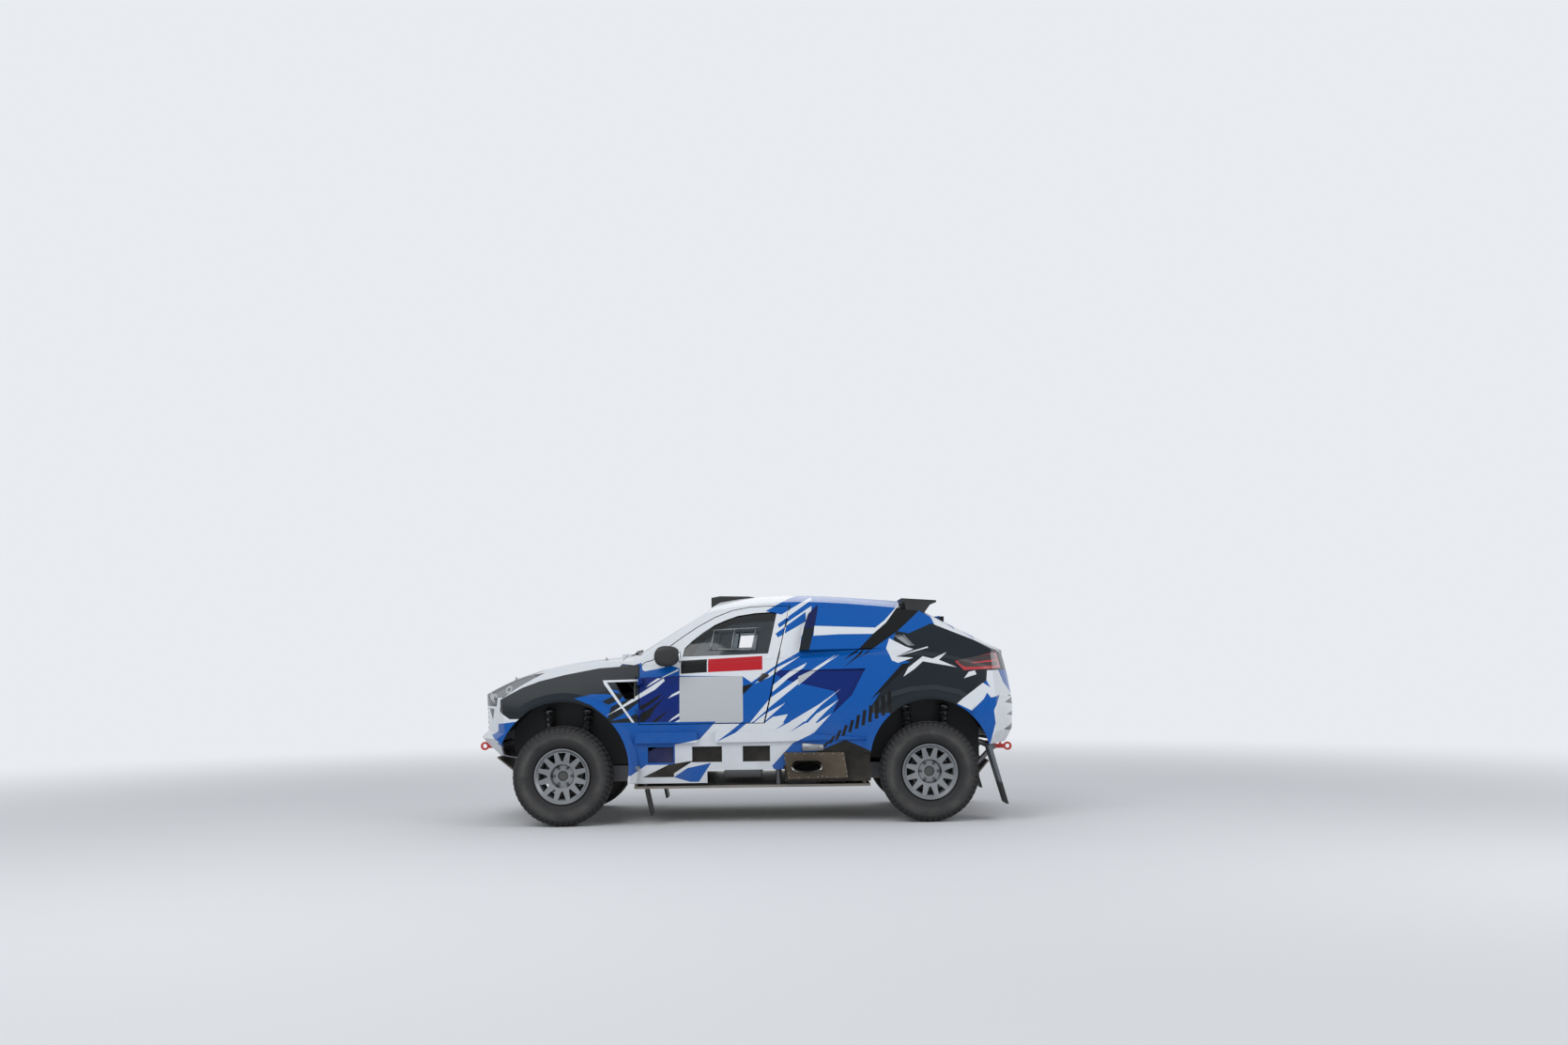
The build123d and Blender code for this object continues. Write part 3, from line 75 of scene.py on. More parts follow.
class Value:
    """A shader socket whose operators add the Math nodes that work them out."""

    def __init__(self, tree, socket):
        self.tree = tree
        self.socket = socket

    def math(self, operation, *others):
        node = self.tree.nodes.new("ShaderNodeMath")
        node.operation = operation
        for place, item in zip(node.inputs, (self, *others)):
            if isinstance(item, Value):
                self.tree.links.new(item.socket, place)
            else:
                place.default_value = item
        return Value(self.tree, node.outputs[0])

    __abs__ = partialmethod(math, "ABSOLUTE")
    __add__ = partialmethod(math, "ADD")
    __sub__ = partialmethod(math, "SUBTRACT")
    __mul__ = partialmethod(math, "MULTIPLY")
    __truediv__ = partialmethod(math, "DIVIDE")
    __pow__ = partialmethod(math, "POWER")
    __gt__ = partialmethod(math, "GREATER_THAN")
    __lt__ = partialmethod(math, "LESS_THAN")
    low = partialmethod(math, "MINIMUM")
    high = partialmethod(math, "MAXIMUM")

    def __rsub__(self, other):
        return self * -1.0 + other

    def clamped(self):
        return self.high(0.0).low(1.0)


class Finish:
    """A material under construction, with its shader and the object's own coordinates."""

    def __init__(self, name, **constants):
        self.material = bpy.data.materials.new(name)
        self.material.use_nodes = True
        self.tree = self.material.node_tree
        self.tree.nodes.clear()
        self.shader = self.tree.nodes.new("ShaderNodeBsdfPrincipled")
        self.output = self.tree.nodes.new("ShaderNodeOutputMaterial")
        self.tree.links.new(self.shader.outputs[0], self.output.inputs["Surface"])
        for socket, value in constants.items():
            self.shader.inputs[socket.replace("_", " ")].default_value = value
        place = self.node("ShaderNodeTexCoord")
        self.at = place.outputs["Object"]
        self.facing = place.outputs["Normal"]
        split = self.node("ShaderNodeSeparateXYZ", inputs={0: self.at})
        self.x, self.y, self.z = (Value(self.tree, split.outputs[i]) for i in range(3))

    def node(self, kind, settings=None, inputs=None):
        """A node of any kind: its settings first, then the values or links of its sockets."""
        made = self.tree.nodes.new(kind)
        for key, value in (settings or {}).items():
            setattr(made, key, value)
        for key, value in (inputs or {}).items():
            place = made.inputs[key]
            if isinstance(value, Value):
                value = value.socket
            if isinstance(value, bpy.types.NodeSocket):
                self.tree.links.new(value, place)
            else:
                place.default_value = value
        return made

    def vector(self, operation, *inputs):
        """Result of a Vector Math node, as a Value where it is one number."""
        made = self.node("ShaderNodeVectorMath", {"operation": operation}, dict(enumerate(inputs)))
        if operation in ("LENGTH", "DOT_PRODUCT"):
            return Value(self.tree, made.outputs["Value"])
        return made.outputs[0]

    def noise(self, scale, detail=3.0, stretch=None):
        """Noise from 0 to 1, with its pattern stretched along each axis if asked."""
        at = self.at
        if stretch:
            at = self.node("ShaderNodeMapping", inputs={"Vector": at, "Scale": stretch}).outputs[0]
        made = self.node("ShaderNodeTexNoise", inputs={"Vector": at, "Scale": scale, "Detail": detail})
        return Value(self.tree, made.outputs["Fac"])

    def mix(self, factor, first, second):
        """Colour between two colours."""
        made = self.node("ShaderNodeMix", {"data_type": "RGBA"},
                         {0: factor, 6: first, 7: second})
        return made.outputs[2]

    def cover(self, corners, across=None, up=None):
        """Mask of an outline: 1 inside or at the edge of one of its triangles."""
        across = across or self.x
        up = up or self.z
        reach = None
        for run, rise, start in edge_terms(corners):
            inward = self.vector("MULTIPLY_ADD", up, rise, self.vector("MULTIPLY_ADD", across, run, start))
            gap = self.vector("LENGTH", self.vector("MINIMUM", inward, (0.0, 0.0, 0.0)))
            reach = gap if reach is None else reach.low(gap)
        return reach < STRIPE_EDGE

    def inner(self):
        """Mask of the faces that look towards the car's middle line."""
        away = self.vector("MULTIPLY_ADD", self.at, INSIDE_STRETCH, (0.0, 0.0, -INSIDE_LEVEL))
        return self.vector("DOT_PRODUCT", away, self.facing) < INSIDE_LIMIT

    def look(self, colour, roughness):
        """Drives the colour and the roughness."""
        self.feed("Base Color", colour)
        self.feed("Roughness", roughness)

    def feed(self, socket, value):
        """Drives one socket of the shader."""
        if isinstance(value, Value):
            value = value.socket
        self.tree.links.new(value, self.shader.inputs[socket])

    def bump(self, height, strength, distance):
        """Relief from a height between 0 and 1."""
        made = self.node("ShaderNodeBump", inputs={"Height": height, "Strength": strength,
                                                   "Distance": distance})
        self.tree.links.new(made.outputs[0], self.shader.inputs["Normal"])


def turn_of(a, b, c):
    """Twice the signed area of a triangle."""
    return (b[0] - a[0]) * (c[1] - a[1]) - (b[1] - a[1]) * (c[0] - a[0])


def ears(corners):
    """Triangles of a simple outline, cut off one convex corner at a time, the bluntest first."""
    left = list(corners)
    if sum(turn_of((0, 0), a, b) for a, b in zip(left, left[1:] + left[:1])) < 0:
        left.reverse()
    cut = []
    while len(left) > 2:
        best = (-1.0, None)
        for i in range(len(left)):
            a, b, c = left[i - 1], left[i], left[(i + 1) % len(left)]
            inside = any(turn_of(a, b, p) > 0 and turn_of(b, c, p) > 0 and turn_of(c, a, p) > 0
                         for p in left if p not in (a, b, c))
            longest = max(np.hypot(q[0] - p[0], q[1] - p[1]) for p, q in ((a, b), (b, c), (c, a)))
            height = turn_of(a, b, c) / longest
            if height > best[0] and not inside:
                best = (height, (a, b, c))
        if best[0] > THINNEST:
            cut.append(best[1])
        left.remove(best[1][1] if best[1] else left[0])
    return cut


def edge_terms(corners):
    """Each triangle's three inward distances, as factors of across and up and a start."""
    for triangle in ears(corners):
        point = np.array(triangle)
        edge = np.roll(point, -1, axis=0) - point
        inward = np.stack([-edge[:, 1], edge[:, 0]], axis=1)
        inward /= np.linalg.norm(edge, axis=1)[:, None]
        start = -(inward * point).sum(axis=1)
        yield inward[:, 0].tolist(), inward[:, 1].tolist(), start.tolist()


def rgb(red, green, blue):
    """Opaque colour, in linear light."""
    return (red, green, blue, 1.0)


BLUE = rgb(0.002, 0.088, 0.37)
# Deep navy; laid over the side scoop's recess it is painted shade
DEEP = rgb(0.0015, 0.017, 0.15)
NAVY = rgb(0.006, 0.012, 0.075)
WHITE = rgb(0.66, 0.69, 0.73)
PANEL = rgb(0.46, 0.48, 0.50)
SLATE = rgb(0.010, 0.016, 0.021)
FLARE = rgb(0.026, 0.034, 0.040)
SILVER = rgb(0.30, 0.32, 0.34)
BLACK = rgb(0.005, 0.006, 0.007)
RED = rgb(0.45, 0.012, 0.02)
PRIMER = rgb(0.020, 0.021, 0.023)

# Panels whose inner faces stay in dark primer
DARK_INSIDE = ("body_shell", "bonnet", "tailgate", "door_left", "door_right")

# Ground colour of each painted panel
GROUNDS = {"bonnet": BLACK, "front_bumper": WHITE, "rear_bumper": WHITE, "tailgate": SLATE,
           "fender_left": SLATE, "fender_right": SLATE, "door_left": BLUE, "door_right": BLUE,
           "sill_left": WHITE, "sill_right": WHITE, "body_shell": BLUE}

# Painted stripes in the order they are laid, seen from the side: each one's colour, then x and z of
# one corner after another, in centimetres
STRIPE_ROWS = [
    # nose
    (SLATE, 199, 92, 190, 86, 180, 86, 174, 95, 199, 95),
    (BLACK, 230, 96, 203, 96, 201, 106, 230, 106),
    (WHITE, 213, 104, 211, 104, 206, 98),
    (WHITE, 210, 104, 208, 104, 204, 98),
    (SLATE, 213, 94, 206, 94, 208, 85),
    (SLATE, 221, 95, 218, 92, 216, 82),
    (BLUE, 201, 82, 184, 84, 193, 62, 201, 66, 199, 68, 208, 73, 201, 76),
    # front fender
    (WHITE, 164, 130, 118, 136, 96, 134, 102, 127, 118, 126, 146, 121, 167, 116, 181, 111, 200, 101, 201,
     104, 187, 110, 173, 118),
    (BLUE, 137, 102, 124, 105, 112, 105, 105, 104, 114, 100, 122, 96),
    (BLUE, 111, 109, 103, 108, 101, 105, 107, 107),
    (BLUE, 117, 94, 101, 100, 99, 103, 96, 100, 108, 95, 114, 90),
    (BLUE, 124, 104, 108, 95, 110, 86, 124, 97),
    (BLUE, 107, 84, 95, 91, 86, 98, 86, 90, 94, 86),
    (WHITE, 115, 116, 86, 116.5, 86, 115, 112, 114.5, 97, 93, 87, 79, 89, 79, 99, 93, 114, 113),
    # door ahead of its blank panel
    (DEEP, 86, 117, 80, 118, 53, 119, 53, 78, 86, 70),
    (BLACK, 85, 93, 84, 96, 82, 96, 67, 105, 70, 101, 83, 92),
    (BLACK, 84, 89, 75, 94, 64, 103, 73, 93, 77, 86, 85, 80),
    (BLACK, 83, 75, 72, 85, 61, 92, 74, 80, 86, 70),
    (WHITE, 111, 88, 97, 95, 73, 108, 65, 115, 66, 117, 88, 103, 106, 91),
    (WHITE, 80, 110, 73, 114, 68, 117, 71, 117, 77, 113),
    (WHITE, 68, 117, 54, 123, 54, 124.5, 66, 118.5),
    (WHITE, 62, 101, 53, 105, 53, 107, 59, 104),
    (WHITE, 62, 82, 53, 87, 53, 89, 59, 85),
    (WHITE, 79, 66, 65, 74, 53, 81, 53, 84, 61, 80, 72, 74),
    # belt, window frame and front roof
    (WHITE, 81, 123, 59, 127, 53, 125, 53, 119, 2, 118, -5, 113, -26, 127, -44, 137, -46, 150, -54, 158,
     -56, 195, 110, 195, 106, 130, 90, 128, 84, 130, 83, 124),
    (BLUE, -17, 171, -60, 195, -75, 195, -30, 168),
    (BLUE, -27, 160, -55, 180, -55, 175, -28, 157),
    (BLUE, -25, 152, -50, 170, -50, 162, -27, 149),
    # blank panel and blank plates
    (PANEL, 53, 81, 53, 118, 2, 118, 2, 81),
    (BLACK, 52, 120.5, 52, 131, 31, 132, 31, 121.5),
    (RED, 30, 121.5, 30, 132, -14, 134, -14, 123),
    (BLACK, 2, 110, -7, 112, -1, 106, 2, 103),
    # slashes behind the panel
    # Side scoop's recess in deep navy: painted shade of the recess
    (DEEP, -20, 122, -97, 123, -86, 102, -70, 87, -75, 98, -72, 105, -31, 115),
    (WHITE, -8, 112, -25, 124, -44, 133, -27, 122, -20, 117),
    (WHITE, -50, 128, -47, 124, -35, 116, -22, 105, -22, 110, -36, 121),
    (WHITE, -3, 80, -20, 100, -41, 114, -73, 134, -59, 123, -45, 113, -21, 94, -7, 82),
    (WHITE, -6, 80, -15, 87, -32, 96, -17, 83, -14, 80),
    (WHITE, -15, 80, -22, 85, -34, 87, -30, 80),
    (WHITE, -34, 80, -60, 95, -76, 106, -61, 94, -47, 80),
    (WHITE, -50, 80, -57, 87, -75, 98, -65, 89, -56, 80),
    (WHITE, -58, 80, -69, 87, -65, 80),
    (WHITE, -54, 122, -76, 134, -58, 122),
    (PANEL, -43, 117, -54, 122, -58, 122, -48, 114, -43, 110),
    # quarter
    (NAVY, -60, 176, -60, 172, -57, 157, -48, 156, -52, 168),
    (SLATE, -48, 156, -57, 157, -52, 138, -44, 138),
    (WHITE, -57, 158, -107, 156, -115, 162, -130, 178, -133, 178, -117, 160, -107, 151, -77, 151, -56, 150),
    (BLACK, -130, 178, -144, 170, -140, 166, -125, 153, -103, 138, -92, 138, -105, 151, -116, 160),
    (BLACK, -93, 139, -85, 134, -80, 130, -91, 136),
    (BLACK, -97, 139, -88, 131, -80, 124, -94, 134),
    (BLACK, -103, 139, -96, 134, -91, 131, -99, 135),
    (SLATE, -124, 153, -134, 151, -153, 159, -180, 154, -202, 144, -220, 130, -220, 120, -195, 112, -170,
     94, -160, 60, -98, 60, -101, 92, -109, 104, -126, 119, -134, 127, -122, 132, -119, 140),
    (FLARE, -99, 86, -103, 93, -115, 103, -132, 107.5, -153, 109, -173, 105, -184, 98, -180, 96, -172, 101,
     -153, 105.5, -134, 104, -118, 100, -108, 92, -104, 86),
    (BLACK, -127, 126, -134, 127, -126, 119, -109, 104, -101, 98, -110, 108),
    (WHITE, -115, 139, -118, 147, -131, 140, -137, 138, -122, 132, -136, 131, -124, 127, -119, 129),
    (SILVER, -122, 149, -130, 150, -138, 141, -133, 141),
    (WHITE, -123, 132, -149, 139, -149, 140, -138, 137),
    (WHITE, -128, 116, -132, 123, -144, 132, -152, 130, -164, 135, -157, 129, -171, 123, -144, 128, -137,
     122),
    (BLUE, -140, 166, -153, 159, -134, 151, -126, 153),
    # tail
    (WHITE, -153, 166, -172, 159, -200, 145, -213, 134, -197, 141, -175, 150, -156, 158),
    (BLUE, -164, 162, -175, 157, -172, 154),
    (BLUE, -180, 155, -192, 149, -188, 146),
    (WHITE, -177, 114, -181, 119, -186, 120, -187, 117),
    (WHITE, -170, 94, -192, 110, -198, 106, -195, 112, -196, 120, -207, 120, -230, 120, -230, 55, -195, 60,
     -182, 88),
    (BLUE, -180, 86, -192, 97, -195, 102, -198, 98, -206, 100, -200, 88, -201, 78, -196, 60, -186, 60),
    (BLUE, -207, 120, -222, 120, -222, 100, -212, 110),
    (BLACK, -212, 94, -230, 100, -230, 90),
    (BLACK, -214, 84, -230, 87, -230, 80),
    (BLACK, -210, 72, -230, 78, -230, 68),
    # sill
    (BLUE, 112, 82, 24, 82, 37, 68, 57, 64, 57, 48, 80, 48, 92, 40, 112, 40),
    (BLUE, 58, 38, 47, 45, 28, 49, 38, 34, 45, 34),
    (BLACK, 83, 38, 62, 48, 42, 51, 58, 41, 58, 38),
    (BLUE, -69, 87, -55, 72, -38, 64, -21, 46, -30, 30, -116, 30, -116, 87),
    # Three sill pockets in navy and black: painted shade of the recesses
    (NAVY, 78.5, 49.7, 58.3, 49.7, 58.3, 62, 78.5, 62),
    (BLACK, 43.1, 49.7, 19.3, 49.7, 19.3, 62, 43.1, 62),
    (BLACK, 2.4, 49.7, -19.3, 49.7, -19.3, 62, 2.4, 62),
    (BLUE, -24, 75, -36, 81, -33, 81),
    (BLUE, -36, 73, -50, 81, -47, 81),
    (BLUE, 23, 66, 8, 73, -3, 82, 2, 82, 12, 74),
    (BLACK, -30, 46, -80, 66, -116, 50, -116, 30, -30, 30),
]

STRIPES = [(paint, tuple((x / 100, z / 100) for x, z in zip(row[::2], row[1::2])))
           for paint, *row in STRIPE_ROWS]

# Black bars behind the slashes: they lean low down, and grow and stand upright higher up
BARS = 11
for step in range(BARS):
    share = step / (BARS - 1)
    bar_x, bar_z = -0.64 - 0.52 * share, 0.62 + 0.34 * share ** 0.9
    lean, tall, wide = 0.020 * (1 - share), 0.024 + 0.060 * share, 0.011 + 0.004 * share
    STRIPES.append((BLACK, ((bar_x + lean + wide, bar_z - tall), (bar_x - lean + wide, bar_z + tall),
                            (bar_x - lean - wide, bar_z + tall), (bar_x + lean - wide, bar_z - tall))))

# Stripes on the bonnet and the fenders' tops, with corners as (x, distance from the centre plane), and
# the level they start at
TOP_STRIPES = [
    (WHITE, ((0.90, 0.50), (1.30, 0.55), (1.70, 0.60), (2.00, 0.66), (2.00, 0.75), (0.90, 0.75))),
    (BLUE, ((1.00, 0.44), (1.60, 0.555), (1.30, 0.545), (1.00, 0.49))),
]
TOP_LEVEL = 1.0

# Black grille and lower intake in the nose, as (half width, bottom, top), ahead of a place in x
NOSE_HOLES = ((0.448, 0.772, 0.9615), (0.245, 0.583, 0.667))
NOSE_X = 2.0

DUST = rgb(0.22, 0.19, 0.15)


def touches(corners, low, high):
    """Whether an outline's box meets a node's box, seen from the side."""
    across, up = zip(*corners)
    return (min(across) < high.x and max(across) > low.x and min(up) < high.z and max(up) > low.z)


def panel_paint(node):
    """Paint of one panel: its ground, the stripes that cross it, dust low down, under a clear coat."""
    finish = Finish("paint_" + node, Coat_Roughness=0.10, Specular_IOR_Level=0.14)
    low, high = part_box(node)
    colour = GROUNDS[node]
    for paint, corners in STRIPES:
        if touches(corners, low, high):
            colour = finish.mix(finish.cover(corners), colour, paint)
    if node in ("bonnet", "fender_left", "fender_right"):
        for paint, corners in TOP_STRIPES:
            mask = finish.cover(corners, finish.x, abs(finish.y))
            colour = finish.mix(mask * (finish.z > TOP_LEVEL), colour, paint)
    if node == "front_bumper":
        grille, intake = ((abs(finish.y) < half) * (finish.z > bottom) * (finish.z < top)
                          for half, bottom, top in NOSE_HOLES)
        colour = finish.mix(grille.high(intake) * (finish.x > NOSE_X), colour, BLACK)
    if node in DARK_INSIDE:
        colour = finish.mix(finish.inner(), colour, PRIMER)
    patch = finish.noise(6.0)
    dust = ((patch * 1.6 - 0.35).clamped() * (1.05 - finish.z * 1.1).clamped()).clamped()
    finish.look(finish.mix(dust * 0.45, colour, DUST), dust * 0.3 + patch * 0.08 + 0.22)
    finish.feed("Coat Weight", (0.08 - dust * 0.3).clamped())
    finish.bump(finish.noise(220.0, 1.0), 0.04, 0.0006)
    return finish.material


def plain_finish(name, colour, roughness, metallic=0.0, grain=60.0, depth=0.0004):
    """One colour with a fine grain and a little dust in random patches."""
    finish = Finish(name)
    fleck = finish.noise(grain)
    patch = finish.noise(7.0)
    dusty = tuple(min(1.0, c * 1.35 + 0.02) for c in colour[:3]) + (1.0,)
    finish.look(finish.mix((patch * 1.6 - 0.4).clamped() * 0.5, colour, dusty),
                patch * 0.16 + (roughness - 0.08))
    finish.shader.inputs["Metallic"].default_value = metallic
    finish.bump(fleck, 0.35, depth)
    return finish.material


def glass_finish():
    """Tinted glass with a film of dust."""
    finish = Finish("tinted_glass", Roughness=0.03, IOR=1.45, Transmission_Weight=1.0)
    haze = finish.noise(12.0) * (1.0 - finish.z * 0.4).clamped()
    finish.feed("Base Color", finish.mix(haze * 0.3, rgb(0.15, 0.18, 0.20), rgb(0.24, 0.24, 0.22)))
    return finish.material


def tyre_finish():
    """Rubber: a grey ring of dust on the sidewall, paler lug tips and fine rings round the axle."""
    finish = Finish("tyre_rubber")
    run, rise = abs(finish.x) - AXLE_X, finish.z - TYRE_RADIUS
    radius = (run * run + rise * rise) ** 0.5
    patch = finish.noise(9.0)
    ring = (1.0 - abs(radius - 0.312) / 0.050).clamped() * (patch * 1.9 - 0.25).clamped()
    tip = ((radius - 0.3945) / 0.003).clamped()
    dust = (ring * 0.8 + tip * 0.7 + patch * 0.08).clamped()
    finish.look(finish.mix(dust, rgb(0.007, 0.007, 0.008), rgb(0.085, 0.083, 0.080)), dust * 0.2 + 0.68)
    finish.bump((radius * 1400.0).math("SINE") * 0.3 + finish.noise(160.0, 2.0), 0.3, 0.0005)
    return finish.material


# Middle of the exhaust's outlet, as (x, z)
OUTLET = (-0.489, 0.451)


def scorched_finish():
    """Bare sheet browned by heat, darkest round the outlet, with soot and scratches."""
    finish = Finish("scorched_sheet", Metallic=0.75)
    run, rise = (finish.x - OUTLET[0]) * 0.8, (finish.z - OUTLET[1]) * 1.4
    heat = (1.0 - (run * run + rise * rise) ** 0.5 / 0.24).clamped()
    patch = finish.noise(14.0)
    scratch = finish.noise(40.0, 2.0, (1.0, 1.0, 9.0))
    shade = (heat * 0.75 + patch * 0.5 - 0.1).clamped()
    finish.look(finish.mix(shade, rgb(0.125, 0.100, 0.072), rgb(0.024, 0.018, 0.014)),
                patch * 0.25 + scratch * 0.1 + 0.32)
    finish.bump(scratch, 0.3, 0.0005)
    return finish.material


# Outlines in the lamps, as (x, z)
TAIL_LAMP_MIDDLE = ((-1.72, 1.28), (-1.85, 1.31), (-2.03, 1.34), (-2.07, 1.285), (-2.07, 1.24),
                    (-1.88, 1.23), (-1.78, 1.23), (-1.74, 1.255))
TAIL_LAMP_BAR = ((-1.84, 1.265), (-2.07, 1.29), (-2.07, 1.275), (-1.85, 1.26))
HEADLAMP_BEZEL = ((2.13, 1.00), (2.02, 1.015), (1.95, 1.05), (1.82, 1.11), (1.70, 1.19),
                  (1.74, 1.21), (1.88, 1.16), (2.02, 1.08), (2.13, 1.03))

# Headlamp reflectors, as (x, z, radius)
REFLECTORS = ((2.055, 1.035, 0.027), (1.93, 1.095, 0.030))


def tail_lamp_finish():
    """Red cover: its dark middle has a red bar through it."""
    finish = Finish("tail_lamp", Coat_Roughness=0.03, Coat_Weight=0.6)
    inside, bar = finish.cover(TAIL_LAMP_MIDDLE), finish.cover(TAIL_LAMP_BAR)
    ribs = ((finish.x * 420.0).math("SINE") * 0.5 + 0.5) * inside
    colour = finish.mix(inside, rgb(0.42, 0.006, 0.014), rgb(0.020, 0.004, 0.006))
    finish.look(finish.mix(bar, colour, rgb(0.50, 0.015, 0.03)), finish.noise(9.0) * 0.08 + 0.12)
    finish.bump(ribs, 0.25, 0.0008)
    return finish.material


def headlamp_finish():
    """Smoked cover over two round reflectors in a dark bezel."""
    finish = Finish("headlamp", Coat_Roughness=0.03, Coat_Weight=0.7)
    inside = finish.cover(HEADLAMP_BEZEL)
    colour = finish.mix(inside, rgb(0.012, 0.013, 0.015), rgb(0.10, 0.11, 0.12))
    for x, z, radius in REFLECTORS:
        run, rise = finish.x - x, finish.z - z
        out = (run * run + rise * rise) ** 0.5 / radius
        colour = finish.mix(out < 1.0, colour, rgb(0.34, 0.36, 0.38))
        colour = finish.mix(out < 0.55, colour, rgb(0.05, 0.055, 0.06))
    finish.look(colour, finish.noise(8.0) * 0.1 + 0.10)
    return finish.material


def flap_finish():
    """Rubber flap: dusty grey above, black below, scuffed lengthways."""
    finish = Finish("flap_rubber")
    streak = finish.noise(30.0, 3.0, (1.0, 1.0, 0.15))
    upper = ((finish.z - 0.30) / 0.02).clamped() * (finish.x < 0.0) * (streak * 0.5 + 0.5)
    finish.look(finish.mix(upper, rgb(0.012, 0.012, 0.013), rgb(0.13, 0.15, 0.17)), streak * 0.2 + 0.55)
    finish.bump(streak, 0.3, 0.0006)
    return finish.material


def screen_finish():
    """Wire screen: diamonds of thin grey wire, raised over a black ground."""
    finish = Finish("wire_screen")
    ways = (finish.y + finish.z, finish.y - finish.z)
    falling, rising = (abs((way * 260.0).math("SINE")) for way in ways)
    wire = (0.30 - falling.low(rising)).clamped() / 0.30
    finish.look(finish.mix(wire, rgb(0.002, 0.002, 0.002), rgb(0.09, 0.095, 0.10)), 0.75 - wire * 0.3)
    finish.bump(wire, 0.8, 0.002)
    return finish.material


def woven_finish(name, colour, pale):
    """Woven cloth: two crossed sets of fine threads under faded patches."""
    finish = Finish(name)
    along = (finish.y * 2400.0).math("SINE")
    over = ((finish.x + finish.z) * 2400.0).math("SINE")
    patch = finish.noise(11.0)
    finish.look(finish.mix((along * over * 0.25 + patch * 0.6).clamped(), colour, pale), patch * 0.1 + 0.82)
    finish.bump(along * over * 0.5 + 0.5, 0.5, 0.0006)
    return finish.material


BLACK_TRIM = plain_finish("black_trim", BLACK, 0.5)
RUBBER = tyre_finish()
ALLOY = plain_finish("rim_alloy", rgb(0.23, 0.24, 0.25), 0.34, 0.9)
STEEL = plain_finish("frame_steel", rgb(0.16, 0.16, 0.17), 0.45, 0.6)
CAST = plain_finish("cast_iron", rgb(0.10, 0.10, 0.10), 0.6, 0.7)
SHEET = plain_finish("dusty_sheet", rgb(0.24, 0.22, 0.19), 0.5, 0.7)
TOW_RED = plain_finish("tow_red", rgb(0.55, 0.03, 0.02), 0.4)
TAIL_LAMP = tail_lamp_finish()
HEADLAMP = headlamp_finish()
FLAP = flap_finish()
SCORCHED = scorched_finish()
SEAT_CLOTH = woven_finish("seat_cloth", rgb(0.018, 0.019, 0.022), rgb(0.05, 0.052, 0.058))
WEBBING = woven_finish("belt_webbing", rgb(0.010, 0.03, 0.14), rgb(0.02, 0.05, 0.20))
SHELL = plain_finish("seat_shell", rgb(0.014, 0.014, 0.015), 0.35)
GLASS = glass_finish()

DAMPER_METAL = plain_finish("damper_metal", rgb(0.20, 0.20, 0.21), 0.35, 0.9)
SPRING_STEEL = plain_finish("spring_steel", rgb(0.08, 0.09, 0.10), 0.4, 0.5)
SOOT = plain_finish("soot", rgb(0.012, 0.011, 0.010), 0.9)
SCREEN = screen_finish()
STRIP_ALLOY = plain_finish("strip_alloy", rgb(0.24, 0.25, 0.26), 0.4, 0.8)
MIRROR_GLASS = plain_finish("mirror_glass", rgb(0.70, 0.72, 0.74), 0.1, 1.0)
GRIP = plain_finish("wheel_grip", rgb(0.02, 0.02, 0.022), 0.75, grain=220.0)

SLOTS = {"black_plastic": BLACK_TRIM, "tinted_glass": GLASS, "clear_cover": HEADLAMP,
         "lamp_red": TAIL_LAMP, "frame_steel": STEEL, "bare_alloy": SHEET, "cast_steel": CAST,
         "tow_red": TOW_RED, "seat_trim": SEAT_CLOTH, "flap_rubber": FLAP, "tyre_rubber": RUBBER,
         "rim_alloy": ALLOY, "disc_iron": CAST}
OWN_FINISHES = {"exhaust_panel": SCORCHED, "engine_block": CAST}


def finish_nodes():
    """Gives each frame node its paint, its own finish or the finish of its material slot."""
    slots = {part["node"]: part["material_slot"] for part in frame["record"]["subparts"]}
    for name, node in frame["nodes"].items():
        node.data.materials.clear()
        paint = panel_paint(name) if name in GROUNDS else OWN_FINISHES.get(name, SLOTS[slots[name]])
        node.data.materials.append(paint)


def put(name, data):
    """Object of the given data, linked to the scene."""
    made = bpy.data.objects.new(name, data)
    bpy.context.scene.collection.objects.link(made)
    return made


def unit(vectors):
    """Vectors brought to length one, each along the last axis."""
    vectors = np.asarray(vectors, float)
    return vectors / np.linalg.norm(vectors, axis=-1, keepdims=True)


def turns(count):
    """Angles of a whole turn in equal steps."""
    return np.linspace(0, 2 * np.pi, count, endpoint=False)


def mesh_piece(name, points, faces, material, body):
    """Object from points and faces, smooth, riding on a body."""
    mesh = bpy.data.meshes.new(name)
    mesh.from_pydata(np.asarray(points, float).tolist(), [], faces)
    shape = bmesh.new()
    shape.from_mesh(mesh)
    bmesh.ops.remove_doubles(shape, verts=shape.verts, dist=1e-6)
    bmesh.ops.recalc_face_normals(shape, faces=shape.faces)
    shape.to_mesh(mesh)
    shape.free()
    mesh.materials.append(material)
    mesh.shade_smooth()
    made = put(name, mesh)
    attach(made, body)
    return made


def gather(name, parts, material, body):
    """One piece from several (points, faces) shapes."""
    points, faces, start = [], [], 0
    for some, sides in parts:
        points.append(np.asarray(some, float).reshape(-1, 3))
        faces += [[start + int(corner) for corner in side] for side in sides]
        start += len(points[-1])
    return mesh_piece(name, np.concatenate(points), faces, material, body)


def grid_faces(rows, columns, wrap=True, loop=False):
    """Faces between neighbouring rows: each row a ring if wrap, the last joined to the first if loop."""
    i, j = np.meshgrid(np.arange(rows if loop else rows - 1), np.arange(columns if wrap else columns - 1),
                       indexing="ij")
    i2, j2 = (i + 1) % rows, (j + 1) % columns
    faces = np.stack([i * columns + j, i * columns + j2, i2 * columns + j2, i2 * columns + j], -1)
    return faces.reshape(-1, 4).tolist()


